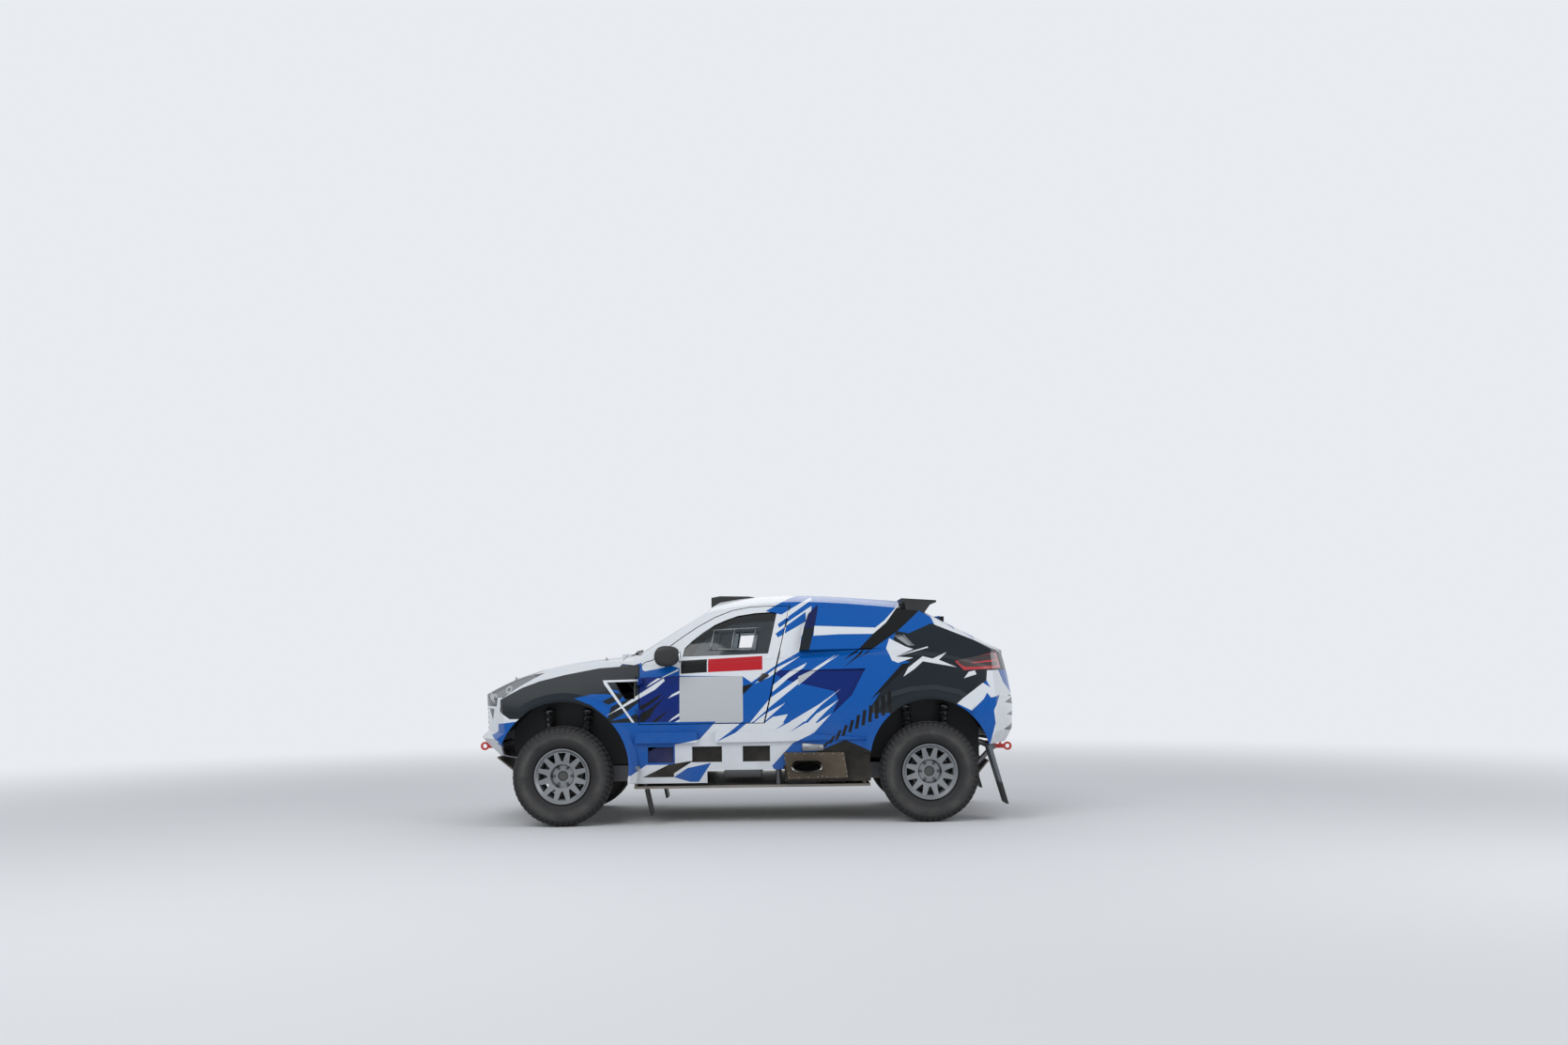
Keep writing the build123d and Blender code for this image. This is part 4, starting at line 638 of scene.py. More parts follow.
def surface(name, grid, material, body, loop=False):
    """Piece from a grid of points whose rows are rings, the last ring joined to the first if loop."""
    return mesh_piece(name, grid.reshape(-1, 3), grid_faces(*grid.shape[:2], loop=loop), material, body)


def capped(path, rings):
    """Rings along a path, closed by its two end points, as points and faces."""
    sides = rings.shape[1]
    ends = [path[k].repeat(sides, 0)[None] for k in (slice(0, 1), slice(-1, None))]
    return np.concatenate([ends[0], rings, ends[1]]), grid_faces(len(path) + 2, sides)


def pipe(path, radius, sides=10):
    """Closed tube along a path: each ring lies across the path's local direction."""
    path = np.asarray(path, float)
    ahead = unit(np.gradient(path, axis=0))
    guide = np.array([0.31, 0.22, 0.93]) if abs(ahead[0, 2]) < 0.9 else np.array([0.95, 0.3, 0.1])
    side = unit(np.cross(ahead, guide))
    over = np.cross(side, ahead)
    angle = turns(sides)
    radius = np.broadcast_to(radius, len(path))[:, None, None]
    ring = (np.cos(angle)[None, :, None] * side[:, None] + np.sin(angle)[None, :, None] * over[:, None])
    return capped(path, path[:, None] + radius * ring)


def lathe(profile, centre, axis, sides=24):
    """Closed turned shape: (distance along the axis, radius) points swept round the axis."""
    profile = np.asarray(profile, float)
    axis = unit(axis)
    guide = np.array([0, 0, 1.0]) if abs(axis[2]) < 0.9 else np.array([1.0, 0, 0])
    side = unit(np.cross(guide, axis))
    over = np.cross(axis, side)
    angle = turns(sides)
    ring = np.cos(angle)[:, None] * side + np.sin(angle)[:, None] * over
    points = (np.asarray(centre) + profile[:, 0, None, None] * axis + profile[:, 1, None, None] * ring)
    return points, grid_faces(len(profile), sides)


def slab(corners, near, far, rounding=0.0):
    """Plate with a side outline of (x, z) corners between two y values, its rim drawn in by rounding."""
    outline = np.asarray(corners, float)
    middle = outline.mean(axis=0)
    inner = middle + (outline - middle) * (1 - rounding)
    thin = (far - near) * min(0.25, rounding * 3)
    rings = [(middle[None].repeat(len(outline), 0), near), (inner, near), (outline, near + thin),
             (outline, far - thin), (inner, far), (middle[None].repeat(len(outline), 0), far)]
    points = np.array([[(x, y, z) for x, z in ring] for ring, y in rings])
    turned = turn_of(*outline[:3]) > 0
    faces = grid_faces(len(rings), len(outline))
    return points, faces if turned else [face[::-1] for face in faces]


# Tyres: lugs round, steps a lug, the grooves' depth, the three round grooves' distances from the
# middle, and how far a lug slants, in lugs, out to the tyre's half width
LUGS = 54
LUG_STEPS = 12
GROOVE = 0.010
ROUND_GROOVES = (0.0085, 0.0395, 0.0715)
LUG_SLANT = 0.9
TYRE_HALF = 0.122

# Beyond this distance the lugs stand half a lug further round; then the spans over which a cross
# groove, a round groove, the tread as a whole and its shoulder come in
STAGGERED = 0.040
CROSS_EDGE = (0.10, 0.19)
ROUND_EDGE = (0.001, 0.0024)
TREAD_EDGE = (0.360, 0.369)
SHOULDER_EDGE = (0.09, 0.112)

# Half of the tyre's section, as (radius, distance from its middle)
TYRE_SIDE = [(0.2036, 0.0), (0.2036, 0.085), (0.2285, 0.0915), (0.240, 0.106), (0.262, 0.116),
             (0.290, 0.1195), (0.292, 0.1215), (0.311, 0.1222), (0.338, 0.1215), (0.345, 0.1224),
             (0.352, 0.1218), (0.362, 0.1190), (0.368, 0.1170), (0.376, 0.1130), (0.384, 0.1075),
             (0.389, 0.1030), (0.3935, 0.0940), (0.3960, 0.0840), (0.3975, 0.0740), (0.3978, 0.0715),
             (0.3980, 0.0690), (0.3984, 0.0560), (0.3986, 0.0420), (0.3986, 0.0395), (0.3987, 0.0370),
             (0.3988, 0.0240), (0.3989, 0.0110), (0.3990, 0.0085), (0.3990, 0.0060), (0.3990, 0.0)]


def ramp(value, low, high):
    """0 below low, 1 above high, straight between."""
    return np.clip((value - low) / (high - low), 0, 1)


def tyre(name):
    """Tyre: its half section swept round the axle; lugs stand where the grooves' waves leave them."""
    x, y = WHEELS[name]
    side = np.array(TYRE_SIDE)
    section = np.concatenate([side[:-1] * (1, -1), side[::-1]])
    turn = np.arange(LUGS * LUG_STEPS) / (LUGS * LUG_STEPS)
    radius, across = section[:, 0, None], section[:, 1, None]
    pitch = turn[None] * LUGS + LUG_SLANT * np.abs(across) / TYRE_HALF * np.sign(across)
    row = (np.abs(across) > STAGGERED).astype(float) * 0.5
    cross = 1 - ramp(np.abs((pitch + row) % 1 - 0.5), *CROSS_EDGE)
    ring = np.minimum.reduce([ramp(np.abs(np.abs(across) - level), *ROUND_EDGE) for level in ROUND_GROOVES])
    tread = ramp(radius, *TREAD_EDGE)
    centre = np.abs(across) < ROUND_GROOVES[0]
    dip = tread * np.maximum(np.where(centre, 0.35 * cross, cross), 1 - ring) * GROOVE
    radius = radius - dip * np.where(np.abs(across) > 0.1, 0.55, 1.0)
    across = across - np.sign(across) * dip * ramp(np.abs(across), *SHOULDER_EDGE) * 0.6
    angle = turn[None] * 2 * np.pi
    grid = np.stack([x + radius * np.cos(angle), np.broadcast_to(y + across, (len(section), turn.size)),
                     TYRE_RADIUS + radius * np.sin(angle)], -1)
    made = surface("tyre_" + name + "_lugged", grid, RUBBER, "wheel_" + name, loop=True)
    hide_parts("tyre_" + name)


# Dampers: foot and head as (distance from the axle, y, z), and the turned profile below the rod's end
DAMPER_ENDS = ((0.118, 0.596, 0.2833), (0.160, 0.545, 0.935))
DAMPER_PROFILE = [(0.0, 0.0), (0.0, 0.020), (0.045, 0.022), (0.050, 0.016), (0.170, 0.016), (0.175, 0.041),
                  (0.190, 0.043), (0.196, 0.043), (0.200, 0.027), (0.420, 0.027), (0.425, 0.029),
                  (0.615, 0.029), (0.620, 0.043), (0.638, 0.043), (0.642, 0.024)]

# Coil springs
COIL_TURNS = 9.5
COIL_START = 0.200
COIL_RISE = 0.412
COIL_RADIUS = 0.0365
COIL_WIRE = 0.0068


def dampers():
    """Each damper: a stepped turned body and rod, and a coil that climbs round it at a steady pitch."""
    bodies, coils = [], []
    for axle, lean, side in product((AXLE_X, -AXLE_X), (1, -1), (1, -1)):
        foot, head = (np.array([axle + lean * x, side * y, z]) for x, y, z in DAMPER_ENDS)
        length = np.linalg.norm(head - foot)
        ahead = (head - foot) / length
        bodies.append(lathe([*DAMPER_PROFILE, (length, 0.022), (length, 0.0)], foot, ahead))
        across = unit(np.cross(ahead, (0, 1.0, 0)))
        over = np.cross(ahead, across)
        turn = np.linspace(0, 1, 220)[:, None]
        angle = turn * 2 * np.pi * COIL_TURNS
        path = (foot + ahead * (COIL_START + COIL_RISE * turn)
                + COIL_RADIUS * (np.cos(angle) * across + np.sin(angle) * over))
        coils.append(pipe(path, COIL_WIRE, 8))
    made = gather("damper_bodies", bodies, DAMPER_METAL, "chassis")
    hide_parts("dampers")
    gather("damper_springs", coils, SPRING_STEEL, "chassis")


# Small fittings of the sides
def dome(place, axis, radius, height=None):
    """Rivet or bolt head: a low dome over a short collar."""
    height = height or radius * 0.5
    rise = np.linspace(0, np.pi / 2, 4)
    profile = [(-0.002, radius)] + [(height * np.sin(a), radius * np.cos(a)) for a in rise]
    return lathe(profile, place, axis, 10)


def along(start, end, count):
    """Evenly spaced places between two ends."""
    return np.asarray(start) + np.linspace(0, 1, count)[:, None] * (np.asarray(end) - np.asarray(start))


TREES = {}


def face_at(node, start, direction):
    """Where a ray from start first meets a node, and which way that face looks."""
    if node not in TREES:
        mesh = frame["nodes"][node].data
        TREES[node] = BVHTree.FromPolygons([v.co for v in mesh.vertices],
                                           [face.vertices for face in mesh.polygons])
    place, normal, _, _ = TREES[node].ray_cast(Vector(start), Vector(direction))
    return np.array(place), np.array(normal)


def beside(node, x, z):
    """Place and outward direction of a left panel's outer face at x and z."""
    return face_at(node, (x, 2.0, z), (0, -1, 0))


def above(node, x, y):
    """Place and outward direction of a node's top face at x and y."""
    return face_at(node, (x, y, 3.0), (0, 0, -1))


# Rows of rivets on the exhaust guard: both ends as (x, z), and how many
GUARD_ROWS = [((-0.318, 0.555), (-0.775, 0.552), 7), ((-0.345, 0.365), (-0.805, 0.371), 7),
              ((-0.312, 0.52), (-0.340, 0.40), 2), ((-0.782, 0.51), (-0.805, 0.41), 3),
              ((-0.600, 0.545), (-0.612, 0.375), 3)]

# Outlet pipe's half width and half height
OUTLET_HALVES = (0.118, 0.044)

# Bolted box above the guard: its outline and how far it stands out
SILENCER = [(-0.450, 0.640), (-0.622, 0.628), (-0.630, 0.590), (-0.612, 0.575), (-0.452, 0.575)]
SILENCER_DEPTH = 0.012


def exhaust_fittings():
    """Rivets round the guard, the oval outlet pipe, and the bolted box above the guard."""
    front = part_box("exhaust_panel")[1].y
    heads = [dome((x, front, z), (0, 1, 0), 0.0055) for start, end, count in GUARD_ROWS
             for x, z in along(start, end, count)]
    gather("guard_rivets", heads, DAMPER_METAL, "chassis")
    angle = turns(48)
    depth = np.array([front - 0.034, front - 0.010, front - 0.008, front - 0.012, 0.78, 0.74, 0.74])
    grow = np.array([1.0, 1.0, 0.97, 0.94, 0.90, 0.86, 0.0])[:, None]
    grid = np.stack([OUTLET[0] + OUTLET_HALVES[0] * grow * np.cos(angle),
                     np.broadcast_to(depth[:, None], (len(depth), len(angle))),
                     OUTLET[1] + OUTLET_HALVES[1] * grow * np.sin(angle)], -1)
    surface("exhaust_outlet", grid, SOOT, "chassis")
    side = beside("sill_left", -0.53, 0.61)[0][1]
    box = slab(SILENCER, side - 0.03, side + SILENCER_DEPTH, 0.06)
    bolts = [dome((x, side + SILENCER_DEPTH, 0.607), (0, 1, 0), 0.009) for x in (-0.485, -0.588)]
    gather("silencer_box", [box, *bolts], STRIP_ALLOY, "chassis")


# Door latch's outline and its lock's profile
LATCH = [(-0.100, 1.145), (-0.140, 1.200), (-0.180, 1.200), (-0.195, 1.180), (-0.115, 1.125)]
LOCK_PROFILE = [(-0.012, 0.0), (-0.012, 0.012), (0.006, 0.012), (0.008, 0.009), (0.005, 0.006), (0.005, 0.0)]

# Window slider as lines from (x, z) to (x, z): the two riveted rails, then both ends and the post
SLIDER_LINES = (((0.262, 1.556), (-0.112, 1.572)), ((0.296, 1.398), (-0.076, 1.398)),
                ((0.252, 1.556), (0.284, 1.400)), ((0.086, 1.562), (0.112, 1.398)),
                ((-0.088, 1.570), (-0.060, 1.398)))
RIVETED_LINES = 2
RIVETS = 8


def door_fittings(sign, door, window):
    """Latch and lock on a door, and the riveted rails, ends and post of its window's slider."""
    side = beside("door_left", -0.145, 1.16)[0][1]
    handle = slab(LATCH, side - 0.012, side + 0.005, 0.10)
    lock = lathe(LOCK_PROFILE, (-0.165, side + 0.002, 1.185), (0, 1, 0), 20)
    gather(door + "_latch", [mirrored(shape, sign) for shape in (handle, lock)], BLACK_TRIM, door)
    rails, heads = [], []
    for number, line in enumerate(SLIDER_LINES):
        places = [beside("window_left", x, z) for x, z in line]
        first, last = (place + 0.001 * out for place, out in places)
        rails.append(pipe(along(first, last, 3), 0.0055, 8))
        if number < RIVETED_LINES:
            row = along(first * 0.96 + last * 0.04, first * 0.04 + last * 0.96, RIVETS)
            heads += [dome(place, places[0][1], 0.0042, 0.0075) for place in row]
    gather(window + "_slider", [mirrored(shape, sign) for shape in rails], STRIP_ALLOY, door)
    gather(window + "_slider_rivets", [mirrored(shape, sign) for shape in heads], BLACK_TRIM, door)


# Mirror: its housing's outline, seen from the side, the housing's width, and the glass's profile
HOUSING = [(0.508, 1.335), (0.532, 1.416), (0.600, 1.434), (0.690, 1.434), (0.738, 1.372),
           (0.720, 1.274), (0.640, 1.263), (0.566, 1.262)]
HOUSING_WIDTH = 0.133
GLASS_PROFILE = [(0.0, 0.0), (0.0, 0.046), (0.010, 0.050), (0.013, 0.047), (0.012, 0.044), (0.012, 0.0)]


def mirror(sign, name, door):
    """Door mirror: a rounded housing on its stalk, with round glass let into its back."""
    low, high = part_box("mirror_left")
    inner, outer = high.y - HOUSING_WIDTH, high.y - 0.002
    housing = slab(HOUSING, inner, outer, 0.10)
    stalk = pipe([(0.640, low.y + 0.002, 1.262), (0.640, 0.90, 1.282), (0.640, 0.955, 1.300)], 0.013, 12)
    made = gather(name + "_housing", [mirrored(housing, sign), mirrored(stalk, sign)], BLACK_TRIM, door)
    smooth = made.modifiers.new("rounding", "SUBSURF")
    smooth.levels = smooth.render_levels = 2
    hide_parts(name)
    glass = lathe(GLASS_PROFILE, (0.531, (inner + outer) / 2, 1.342), (-1, 0, 0.05), 36)
    gather(name + "_glass", [mirrored(glass, sign)], MIRROR_GLASS, door)


# Sill bung and bonnet pin as turned profiles, and the pins' places
BUNG_PROFILE = [(-0.01, 0.0), (-0.01, 0.021), (0.005, 0.021), (0.007, 0.018), (0.006, 0.012),
                (-0.001, 0.011), (-0.001, 0.0)]
PIN_PROFILE = [(-0.004, 0.0), (-0.004, 0.024), (0.002, 0.024), (0.004, 0.020), (0.004, 0.006),
               (0.020, 0.006), (0.022, 0.004), (0.022, 0.0)]
PINS = ((1.93, 0.40), (1.16, 0.52))

# Wipers as (x, y) of the pivot, of the arm's elbow and of both ends of the blade, and the pivot's cap
WIPERS = (((0.915, 0.40), (0.895, 0.30), ((0.885, 0.50), (0.895, 0.08))),
          ((0.945, -0.12), (0.925, -0.24), ((0.915, -0.06), (0.885, -0.48))))
CAP_PROFILE = [(-0.01, 0.0), (-0.01, 0.014), (0.020, 0.014), (0.024, 0.010), (0.024, 0.0)]


def small_fittings():
    """Bungs on the sills, pins on the bonnet and wipers on the windscreen."""
    bungs, pins = [], []
    for sign in (1, -1):
        place, out = beside("sill_left", 0.867, 0.455)
        bungs.append(mirrored(lathe(BUNG_PROFILE, place, out, 28), sign))
        pins += [lathe(PIN_PROFILE, *above("bonnet", x, sign * y), 24) for x, y in PINS]
    gather("sill_bungs", bungs, STRIP_ALLOY, "chassis")
    gather("bonnet_pins", pins, STRIP_ALLOY, "bonnet")
    wipers = []
    for pivot, elbow, ends in WIPERS:
        (foot, up), (joint, _) = above("windscreen", *pivot), above("windscreen", *elbow)
        wipers.append(lathe(CAP_PROFILE, foot, up, 16))
        wipers.append(pipe([foot + 0.018 * up, foot * 0.5 + joint * 0.5 + 0.024 * up, joint + 0.016 * up],
                           0.0055, 8))
        line = [above("windscreen", x, y)[0] + 0.012 * up for x, y in along(ends[0], ends[1], 9)]
        wipers.append(pipe(line, 0.0065, 8))
    gather("wipers", wipers, BLACK_TRIM, "chassis")


# Screens in the nose as (half width, bottom, top), and their rings as (x, share of the outline)
SCREENS = ((0.425, 0.785, 0.945), (0.215, 0.596, 0.654))
SCREEN_RINGS = ((2.0800, 0.0), (2.0800, 0.996), (2.0812, 1.0), (2.0828, 1.0), (2.0840, 0.996), (2.0840, 0.0))
SCREEN_RIM = 0.004


def front_screens():
    """Wire screens behind the grille and the lower intake: flat plates with rounded edges."""
    plates = []
    for half, low, high in SCREENS:
        side, bottom, top = half + SCREEN_RIM, low - SCREEN_RIM, high + SCREEN_RIM
        outline = np.array([(-side, bottom), (side, bottom), (side, top), (-side, top)])
        middle = outline.mean(axis=0)
        grid = np.array([np.column_stack([np.full(4, x), middle + (outline - middle) * grow])
                         for x, grow in SCREEN_RINGS])
        plates.append((grid.reshape(-1, 3), grid_faces(len(SCREEN_RINGS), 4)))
    made = gather("front_screens", plates, SCREEN, "chassis")
    made.data.shade_flat()


# Seats: stations along the middle of the shell as (x, z, height of the wings)
SEAT_LINE = [(0.205, 0.548, 0.035), (0.150, 0.545, 0.075), (0.050, 0.510, 0.100), (-0.060, 0.478, 0.125),
             (-0.130, 0.482, 0.150), (-0.180, 0.540, 0.150), (-0.205, 0.700, 0.120),
             (-0.226, 0.900, 0.105), (-0.246, 1.100, 0.120), (-0.256, 1.200, 0.105),
             (-0.262, 1.318, 0.085)]


def seat_line(share):
    """Place, direction and wing height at shares of the shell's middle line."""
    table = np.array(SEAT_LINE)
    run = np.concatenate([[0], np.cumsum(np.hypot(*np.diff(table[:, :2], axis=0).T))])
    fine = np.linspace(0, 1, 241)
    spread = np.stack([np.interp(fine, run / run[-1], column) for column in table.T], 1)
    for _ in range(60):
        spread[1:-1] = (spread[:-2] + 2 * spread[1:-1] + spread[2:]) / 4
    data = np.concatenate([spread, unit(np.gradient(spread[:, :2], axis=0))], 1)
    return np.stack([np.interp(share, fine, column) for column in data.T], -1)


# Bucket shells: share of the width that is flat, its half width, how far a wing turns out, and the
# outline of a bracket below
FLAT_SHARE = 0.60
FLAT_HALF = 0.172
WING_OUT = 0.045
BRACKET = [(0.165, 0.515), (-0.110, 0.455), (-0.120, 0.345), (0.200, 0.345)]


def seat_shells():
    """Bucket shells: a flat floor across, turning up at both sides into wings, along the middle line."""
    stations = seat_line(np.linspace(0, 1, 56))
    across = np.linspace(-1, 1, 29)
    turn = ramp(np.abs(across), FLAT_SHARE, 1.0) * np.pi / 2
    flat = FLAT_HALF * np.minimum(np.abs(across) / FLAT_SHARE, 1)
    wide = np.sign(across) * (flat + WING_OUT * np.sin(turn))
    rise = stations[:, 2, None] * (1 - np.cos(turn))
    x = stations[:, 0, None] + rise * stations[:, 4, None]
    z = stations[:, 1, None] - rise * stations[:, 3, None]
    parts, feet = [], []
    for middle in (SEAT_Y, -SEAT_Y):
        grid = np.stack([x, middle + np.broadcast_to(wide, x.shape), z], -1)
        parts.append((grid.reshape(-1, 3), grid_faces(*x.shape, wrap=False)))
        feet += [slab(BRACKET, y, y + 0.01, 0.02) for y in (middle - 0.16, middle + 0.15)]
    gather("seat_brackets", feet, STRIP_ALLOY, "chassis")
    made = gather("seat_shells", parts, SHELL, "chassis")
    wall = made.modifiers.new("wall", "SOLIDIFY")
    wall.thickness = 0.005
    wall.offset = 0.0
    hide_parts("seats")


# Pads: start and end along the shell, half width, thickness, places of the sewn channels, and fill
PADS = {"cushion": (0.020, 0.300, 0.168, 0.050, (0.25, 0.50, 0.75), 0.7),
        "backrest": (0.360, 0.740, 0.165, 0.040, (0.2, 0.4, 0.6, 0.8), 0.7),
        "head_pad": (0.860, 0.990, 0.130, 0.036, (), 0.8)}

# A pad's section: how square its sides, top and underside are, from 0 for square to 1 for round, how
# much of the thickness lies below its middle, its lift off the shell, and the channels' width and depth
SIDE_POWER = 0.45
TOP_POWER = 0.55
UNDER_POWER = 0.6
UNDER_SHARE = 0.25
PAD_LIFT = 0.004
CHANNEL_WIDTH = 0.010
CHANNEL_DEPTH = 0.22


def seat_pad(name, middle, start, end, half, thick, channels, fill):
    """Pad along the middle line: a rounded cross-section that narrows to both ends, its top drawn in
    along the sewn channels."""
    share = np.linspace(0, 1, 90)
    stations = seat_line(start + (end - start) * share)
    ends = (1 - np.abs(2 * share - 1) ** 5) ** 0.5
    sewn = sum((np.exp(-((share - place) / CHANNEL_WIDTH) ** 2) for place in channels), 0 * share)
    cos, sin = np.cos(turns(48)), np.sin(turns(48))
    wide = half * np.sign(cos) * np.abs(cos) ** SIDE_POWER
    height = np.where(sin > 0, np.abs(sin) ** TOP_POWER, -UNDER_SHARE * np.abs(sin) ** UNDER_POWER)
    full = thick * ends[:, None] * height * (1 - CHANNEL_DEPTH * sewn[:, None] * (sin > 0))
    full = full + PAD_LIFT + thick * UNDER_SHARE * ends[:, None]
    grid = np.stack([stations[:, 0, None] + full * stations[:, 4, None],
                     middle + wide * (0.85 + 0.15 * ends[:, None]) * np.where(ends > 0, 1, 0)[:, None],
                     stations[:, 1, None] - full * stations[:, 3, None]], -1)
    grid[0], grid[-1] = grid[0].mean(axis=0), grid[-1].mean(axis=0)
    made = surface(name, grid, SEAT_CLOTH, "chassis")


# Belts: height over the shell, where a shoulder belt starts and ends along it, that belt's distance
# from the seat's middle on the way, how far a lap belt reaches to each side, widths, half the
# webbing's thickness, and the buckle's profile
BELT_LIFT = 0.072
SHOULDER_RUN = (0.86, 0.30)
SHOULDER_SPREAD = ((0, 0.75, 1), (0.085, 0.075, 0.02))
LAP_REACH = 0.165
SHOULDER_WIDTH = 0.050
LAP_WIDTH = 0.045
WEB_HALF_THICK = 0.0012
BUCKLE_PROFILE = [(-0.006, 0.0), (-0.006, 0.030), (0.008, 0.030), (0.012, 0.024), (0.012, 0.0)]


def belts():
    """Shoulder belts down each backrest and a lap belt, as flat webbing, with a round buckle."""
    webs, buckles = [], []
    for middle in (SEAT_Y, -SEAT_Y):
        back = seat_line(np.linspace(*SHOULDER_RUN, 60))
        for side in (-1, 1):
            y = middle + side * np.interp(np.linspace(0, 1, 60), *SHOULDER_SPREAD)
            path = np.stack([back[:, 0] + BELT_LIFT * back[:, 4], y,
                             back[:, 1] - BELT_LIFT * back[:, 3]], 1)
            webs.append(ribbon(path, (0, 1.0, 0), SHOULDER_WIDTH))
        lap = np.linspace(-1, 1, 40)
        x = -0.135 + 0.135 * (1 - lap ** 2)
        path = np.stack([x, middle + LAP_REACH * lap, 0.565 + 0.050 * (1 - lap ** 2)], 1)
        webs.append(ribbon(path, (0.25, 0, 0.97), LAP_WIDTH))
        buckles.append(lathe(BUCKLE_PROFILE, (0.002, middle, 0.620), (0.9, 0, 0.5), 24))
    gather("belt_webs", webs, WEBBING, "chassis")
    gather("belt_buckles", buckles, STRIP_ALLOY, "chassis")


def ribbon(path, across, width):
    """Flat closed strap along a path: a thin rounded section as wide as given along across."""
    across = unit(across)
    out = unit(np.cross(np.gradient(path, axis=0), across))
    angle = turns(10)
    flat = np.sign(np.cos(angle)) * np.abs(np.cos(angle)) ** 0.5 * width / 2
    return capped(path, path[:, None] + flat[None, :, None] * across
                  + WEB_HALF_THICK * np.sin(angle)[None, :, None] * out[:, None])


# Steering wheel: hub, the shaft's direction, the rim's radius, the spokes' angles, start, end and
# width, and the hub and shaft's profile
HUB = np.array([0.330, SEAT_Y, 1.010])
SHAFT = (0.92718, -0.37461)
RING_RADIUS = 0.163
SPOKES = (90, 210, 330)
SPOKE_SPAN = (0.030, 0.158)
SPOKE_WIDTH = 0.030
HUB_PROFILE = [(-0.012, 0.0), (-0.012, 0.040), (-0.004, 0.046), (0.010, 0.046), (0.014, 0.011),
               (0.285, 0.011), (0.285, 0.0)]


def steering():
    """Steering wheel: a round rim thickened at its two grips, three spokes, a hub and the shaft."""
    axis, over = np.array([SHAFT[0], 0, SHAFT[1]]), np.array([-SHAFT[1], 0, SHAFT[0]])
    side = np.array([0, 1.0, 0])
    turn, angle = turns(72)[:, None], turns(14)[None]
    bar = 0.0135 + 0.0012 * np.abs(np.cos(turn)) ** 3
    out = (RING_RADIUS + bar * np.cos(angle))[..., None]
    ring = (HUB + out * (np.cos(turn)[..., None] * side + np.sin(turn)[..., None] * over)
            + (bar * np.sin(angle))[..., None] * axis)
    made = surface("steering_ring", ring, GRIP, "steering_wheel", loop=True)
    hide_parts("steering_wheel")
    parts = [lathe(HUB_PROFILE, HUB, axis, 28)]
    for degrees in SPOKES:
        way = np.cos(np.radians(degrees)) * over + np.sin(np.radians(degrees)) * side
        path = HUB + way * np.linspace(*SPOKE_SPAN, 8)[:, None]
        parts.append(ribbon(path, np.cross(way, axis), SPOKE_WIDTH))
    gather("steering_spokes", parts, BLACK_TRIM, "steering_wheel")


def mirrored(shape, sign):
    """A shape as it is, or on the car's other side with its faces turned back out."""
    points, faces = shape
    if sign > 0:
        return points, faces
    return np.asarray(points) * (1, -1, 1), [face[::-1] for face in faces]


def axes_at(right, up, back, place):
    """Matrix with three given axes at a place."""
    turn = np.eye(4)
    turn[:3] = np.stack([right, up, back, place], axis=1)
    return Matrix(turn.tolist())


# The photograph's camera
CAMERA_PLACE = (-0.316, 13.28, 1.267)
CAMERA_PITCH = np.radians(5.33)
CAMERA_ROLL = np.radians(0.78)


def camera():
    """The photograph's camera: from the car's left, a little above its hubs, slightly rolled."""
    data = bpy.data.cameras.new("camera")
    data.lens = 35.0
    data.sensor_width = 36.0
    made = put("camera", data)
    pitch, roll = CAMERA_PITCH, CAMERA_ROLL
    right = np.array([-np.cos(roll), 0, -np.sin(roll)])
    down = np.array([np.sin(roll), 0, -np.cos(roll)])
    ahead = np.array([0, -1.0, 0])
    look = ahead * np.cos(pitch) - down * np.sin(pitch)
    fall = down * np.cos(pitch) + ahead * np.sin(pitch)
    made.matrix_world = axes_at(right, -fall, -look, CAMERA_PLACE)
    bpy.context.scene.camera = made


def seen_value(tree, lit, seen):
    """A value that is lit for the object and seen by camera, glossy and transmitted rays."""
    path = tree.nodes.new("ShaderNodeLightPath")
    rays = Value(tree, path.outputs["Is Camera Ray"])
    rays = rays.high(Value(tree, path.outputs["Is Glossy Ray"]))
    rays = rays.high(Value(tree, path.outputs["Is Transmission Ray"]))
    return rays * (seen - lit) + lit


# Sky: its colour, and its strength as a light and as a picture
BACKDROP = rgb(0.90, 0.93, 0.97)
SKY_LIT = 0.62
SKY_SEEN = 0.9

# The floor fades into the backdrop from this distance, over this length, and reaches this far
FADE_START = 4.5
FADE_LENGTH = 9.0
FLOOR_REACH = 60.0

# Lamps as name, place, aim, size and power
LAMPS = (("key", (3.5, 6.5, 6.5), (0, 0, 0.8), 6.0, 268.0),
         ("fill", (-6.0, 5.0, 4.0), (0, 0, 0.8), 5.0, 110.0),
         ("rim", (0.0, -7.0, 6.0), (0, 0, 1.2), 6.0, 78.0))


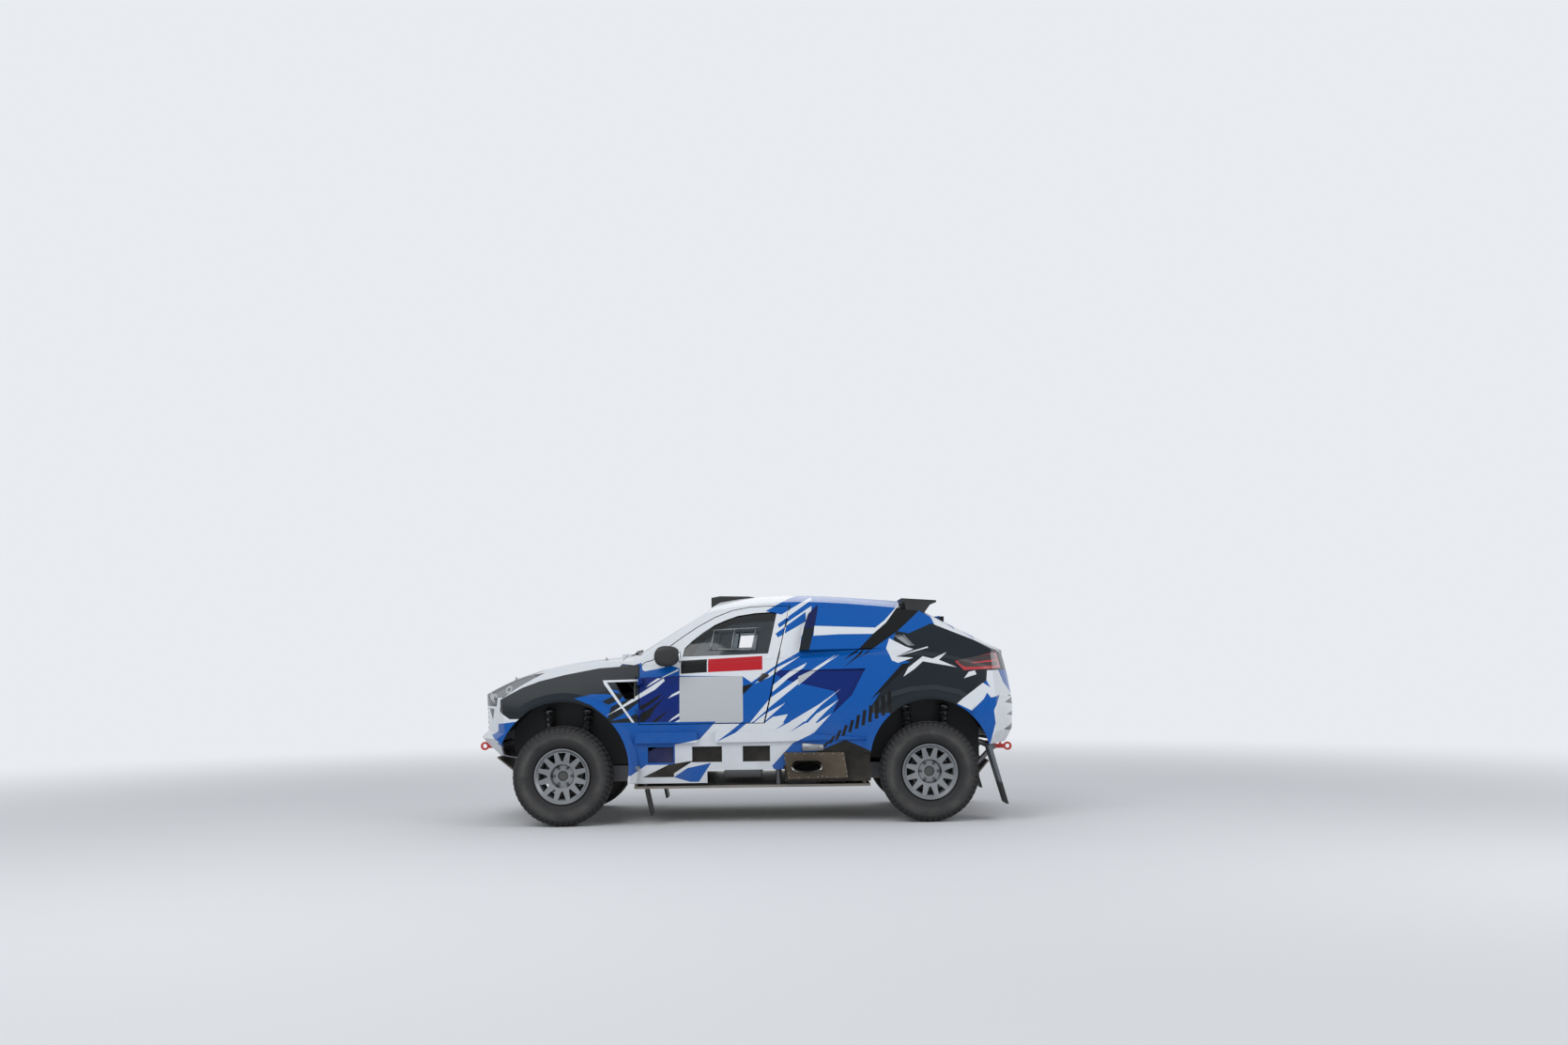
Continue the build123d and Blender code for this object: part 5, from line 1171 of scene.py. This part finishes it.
def floor_finish():
    """Pale floor near the car, fading far out into the backdrop's own colour."""
    finish = Finish("floor_paint", Roughness=0.9)
    finish.feed("Base Color", finish.mix(finish.noise(0.8) * 0.2, rgb(0.70, 0.71, 0.73),
                                         rgb(0.66, 0.67, 0.69)))
    glow = finish.node("ShaderNodeEmission", inputs={"Color": BACKDROP, "Strength": SKY_SEEN})
    far = ((finish.vector("LENGTH", finish.at) - FADE_START) / FADE_LENGTH).clamped()
    both = finish.node("ShaderNodeMixShader", inputs={0: far * far * (3.0 - far * 2.0),
                                                      1: finish.shader.outputs[0],
                                                      2: glow.outputs[0]})
    finish.tree.links.new(both.outputs[0], finish.output.inputs["Surface"])
    return finish.material


def studio():
    """Pale floor, soft sky and three broad lamps."""
    scene = bpy.context.scene
    scene.view_settings.view_transform = "Standard"
    world = bpy.data.worlds.new("studio")
    scene.world = world
    world.use_nodes = True
    back = world.node_tree.nodes["Background"]
    back.inputs["Color"].default_value = BACKDROP
    strength = seen_value(world.node_tree, SKY_LIT, SKY_SEEN)
    world.node_tree.links.new(strength.socket, back.inputs["Strength"])
    mesh = bpy.data.meshes.new("floor")
    corners = ((-1, -1), (1, -1), (1, 1), (-1, 1))
    mesh.from_pydata([(x * FLOOR_REACH, y * FLOOR_REACH, 0) for x, y in corners], [], [(0, 1, 2, 3)])
    floor = put("floor", mesh)
    mesh.materials.append(floor_finish())
    for name, place, aim, size, power in LAMPS:
        lamp = bpy.data.lights.new(name, "AREA")
        lamp.shape = "DISK"
        lamp.size = size
        lamp.energy = power
        away = unit(np.array(place, float) - np.array(aim, float))
        side = unit(np.cross([0, 0, 1.0], away))
        put(name, lamp).matrix_world = axes_at(side, np.cross(away, side), away, place)


finish_nodes()
for wheel in WHEELS:
    tyre(wheel)
dampers()
exhaust_fittings()
door_fittings(1, "door_left", "window_left")
door_fittings(-1, "door_right", "window_right")
mirror(1, "mirror_left", "door_left")
mirror(-1, "mirror_right", "door_right")
small_fittings()
front_screens()
seat_shells()
for (seat, seat_y), pad in product((("driver", SEAT_Y), ("codriver", -SEAT_Y)), PADS):
    seat_pad(seat + "_" + pad, seat_y, *PADS[pad])
belts()
steering()
camera()
studio()
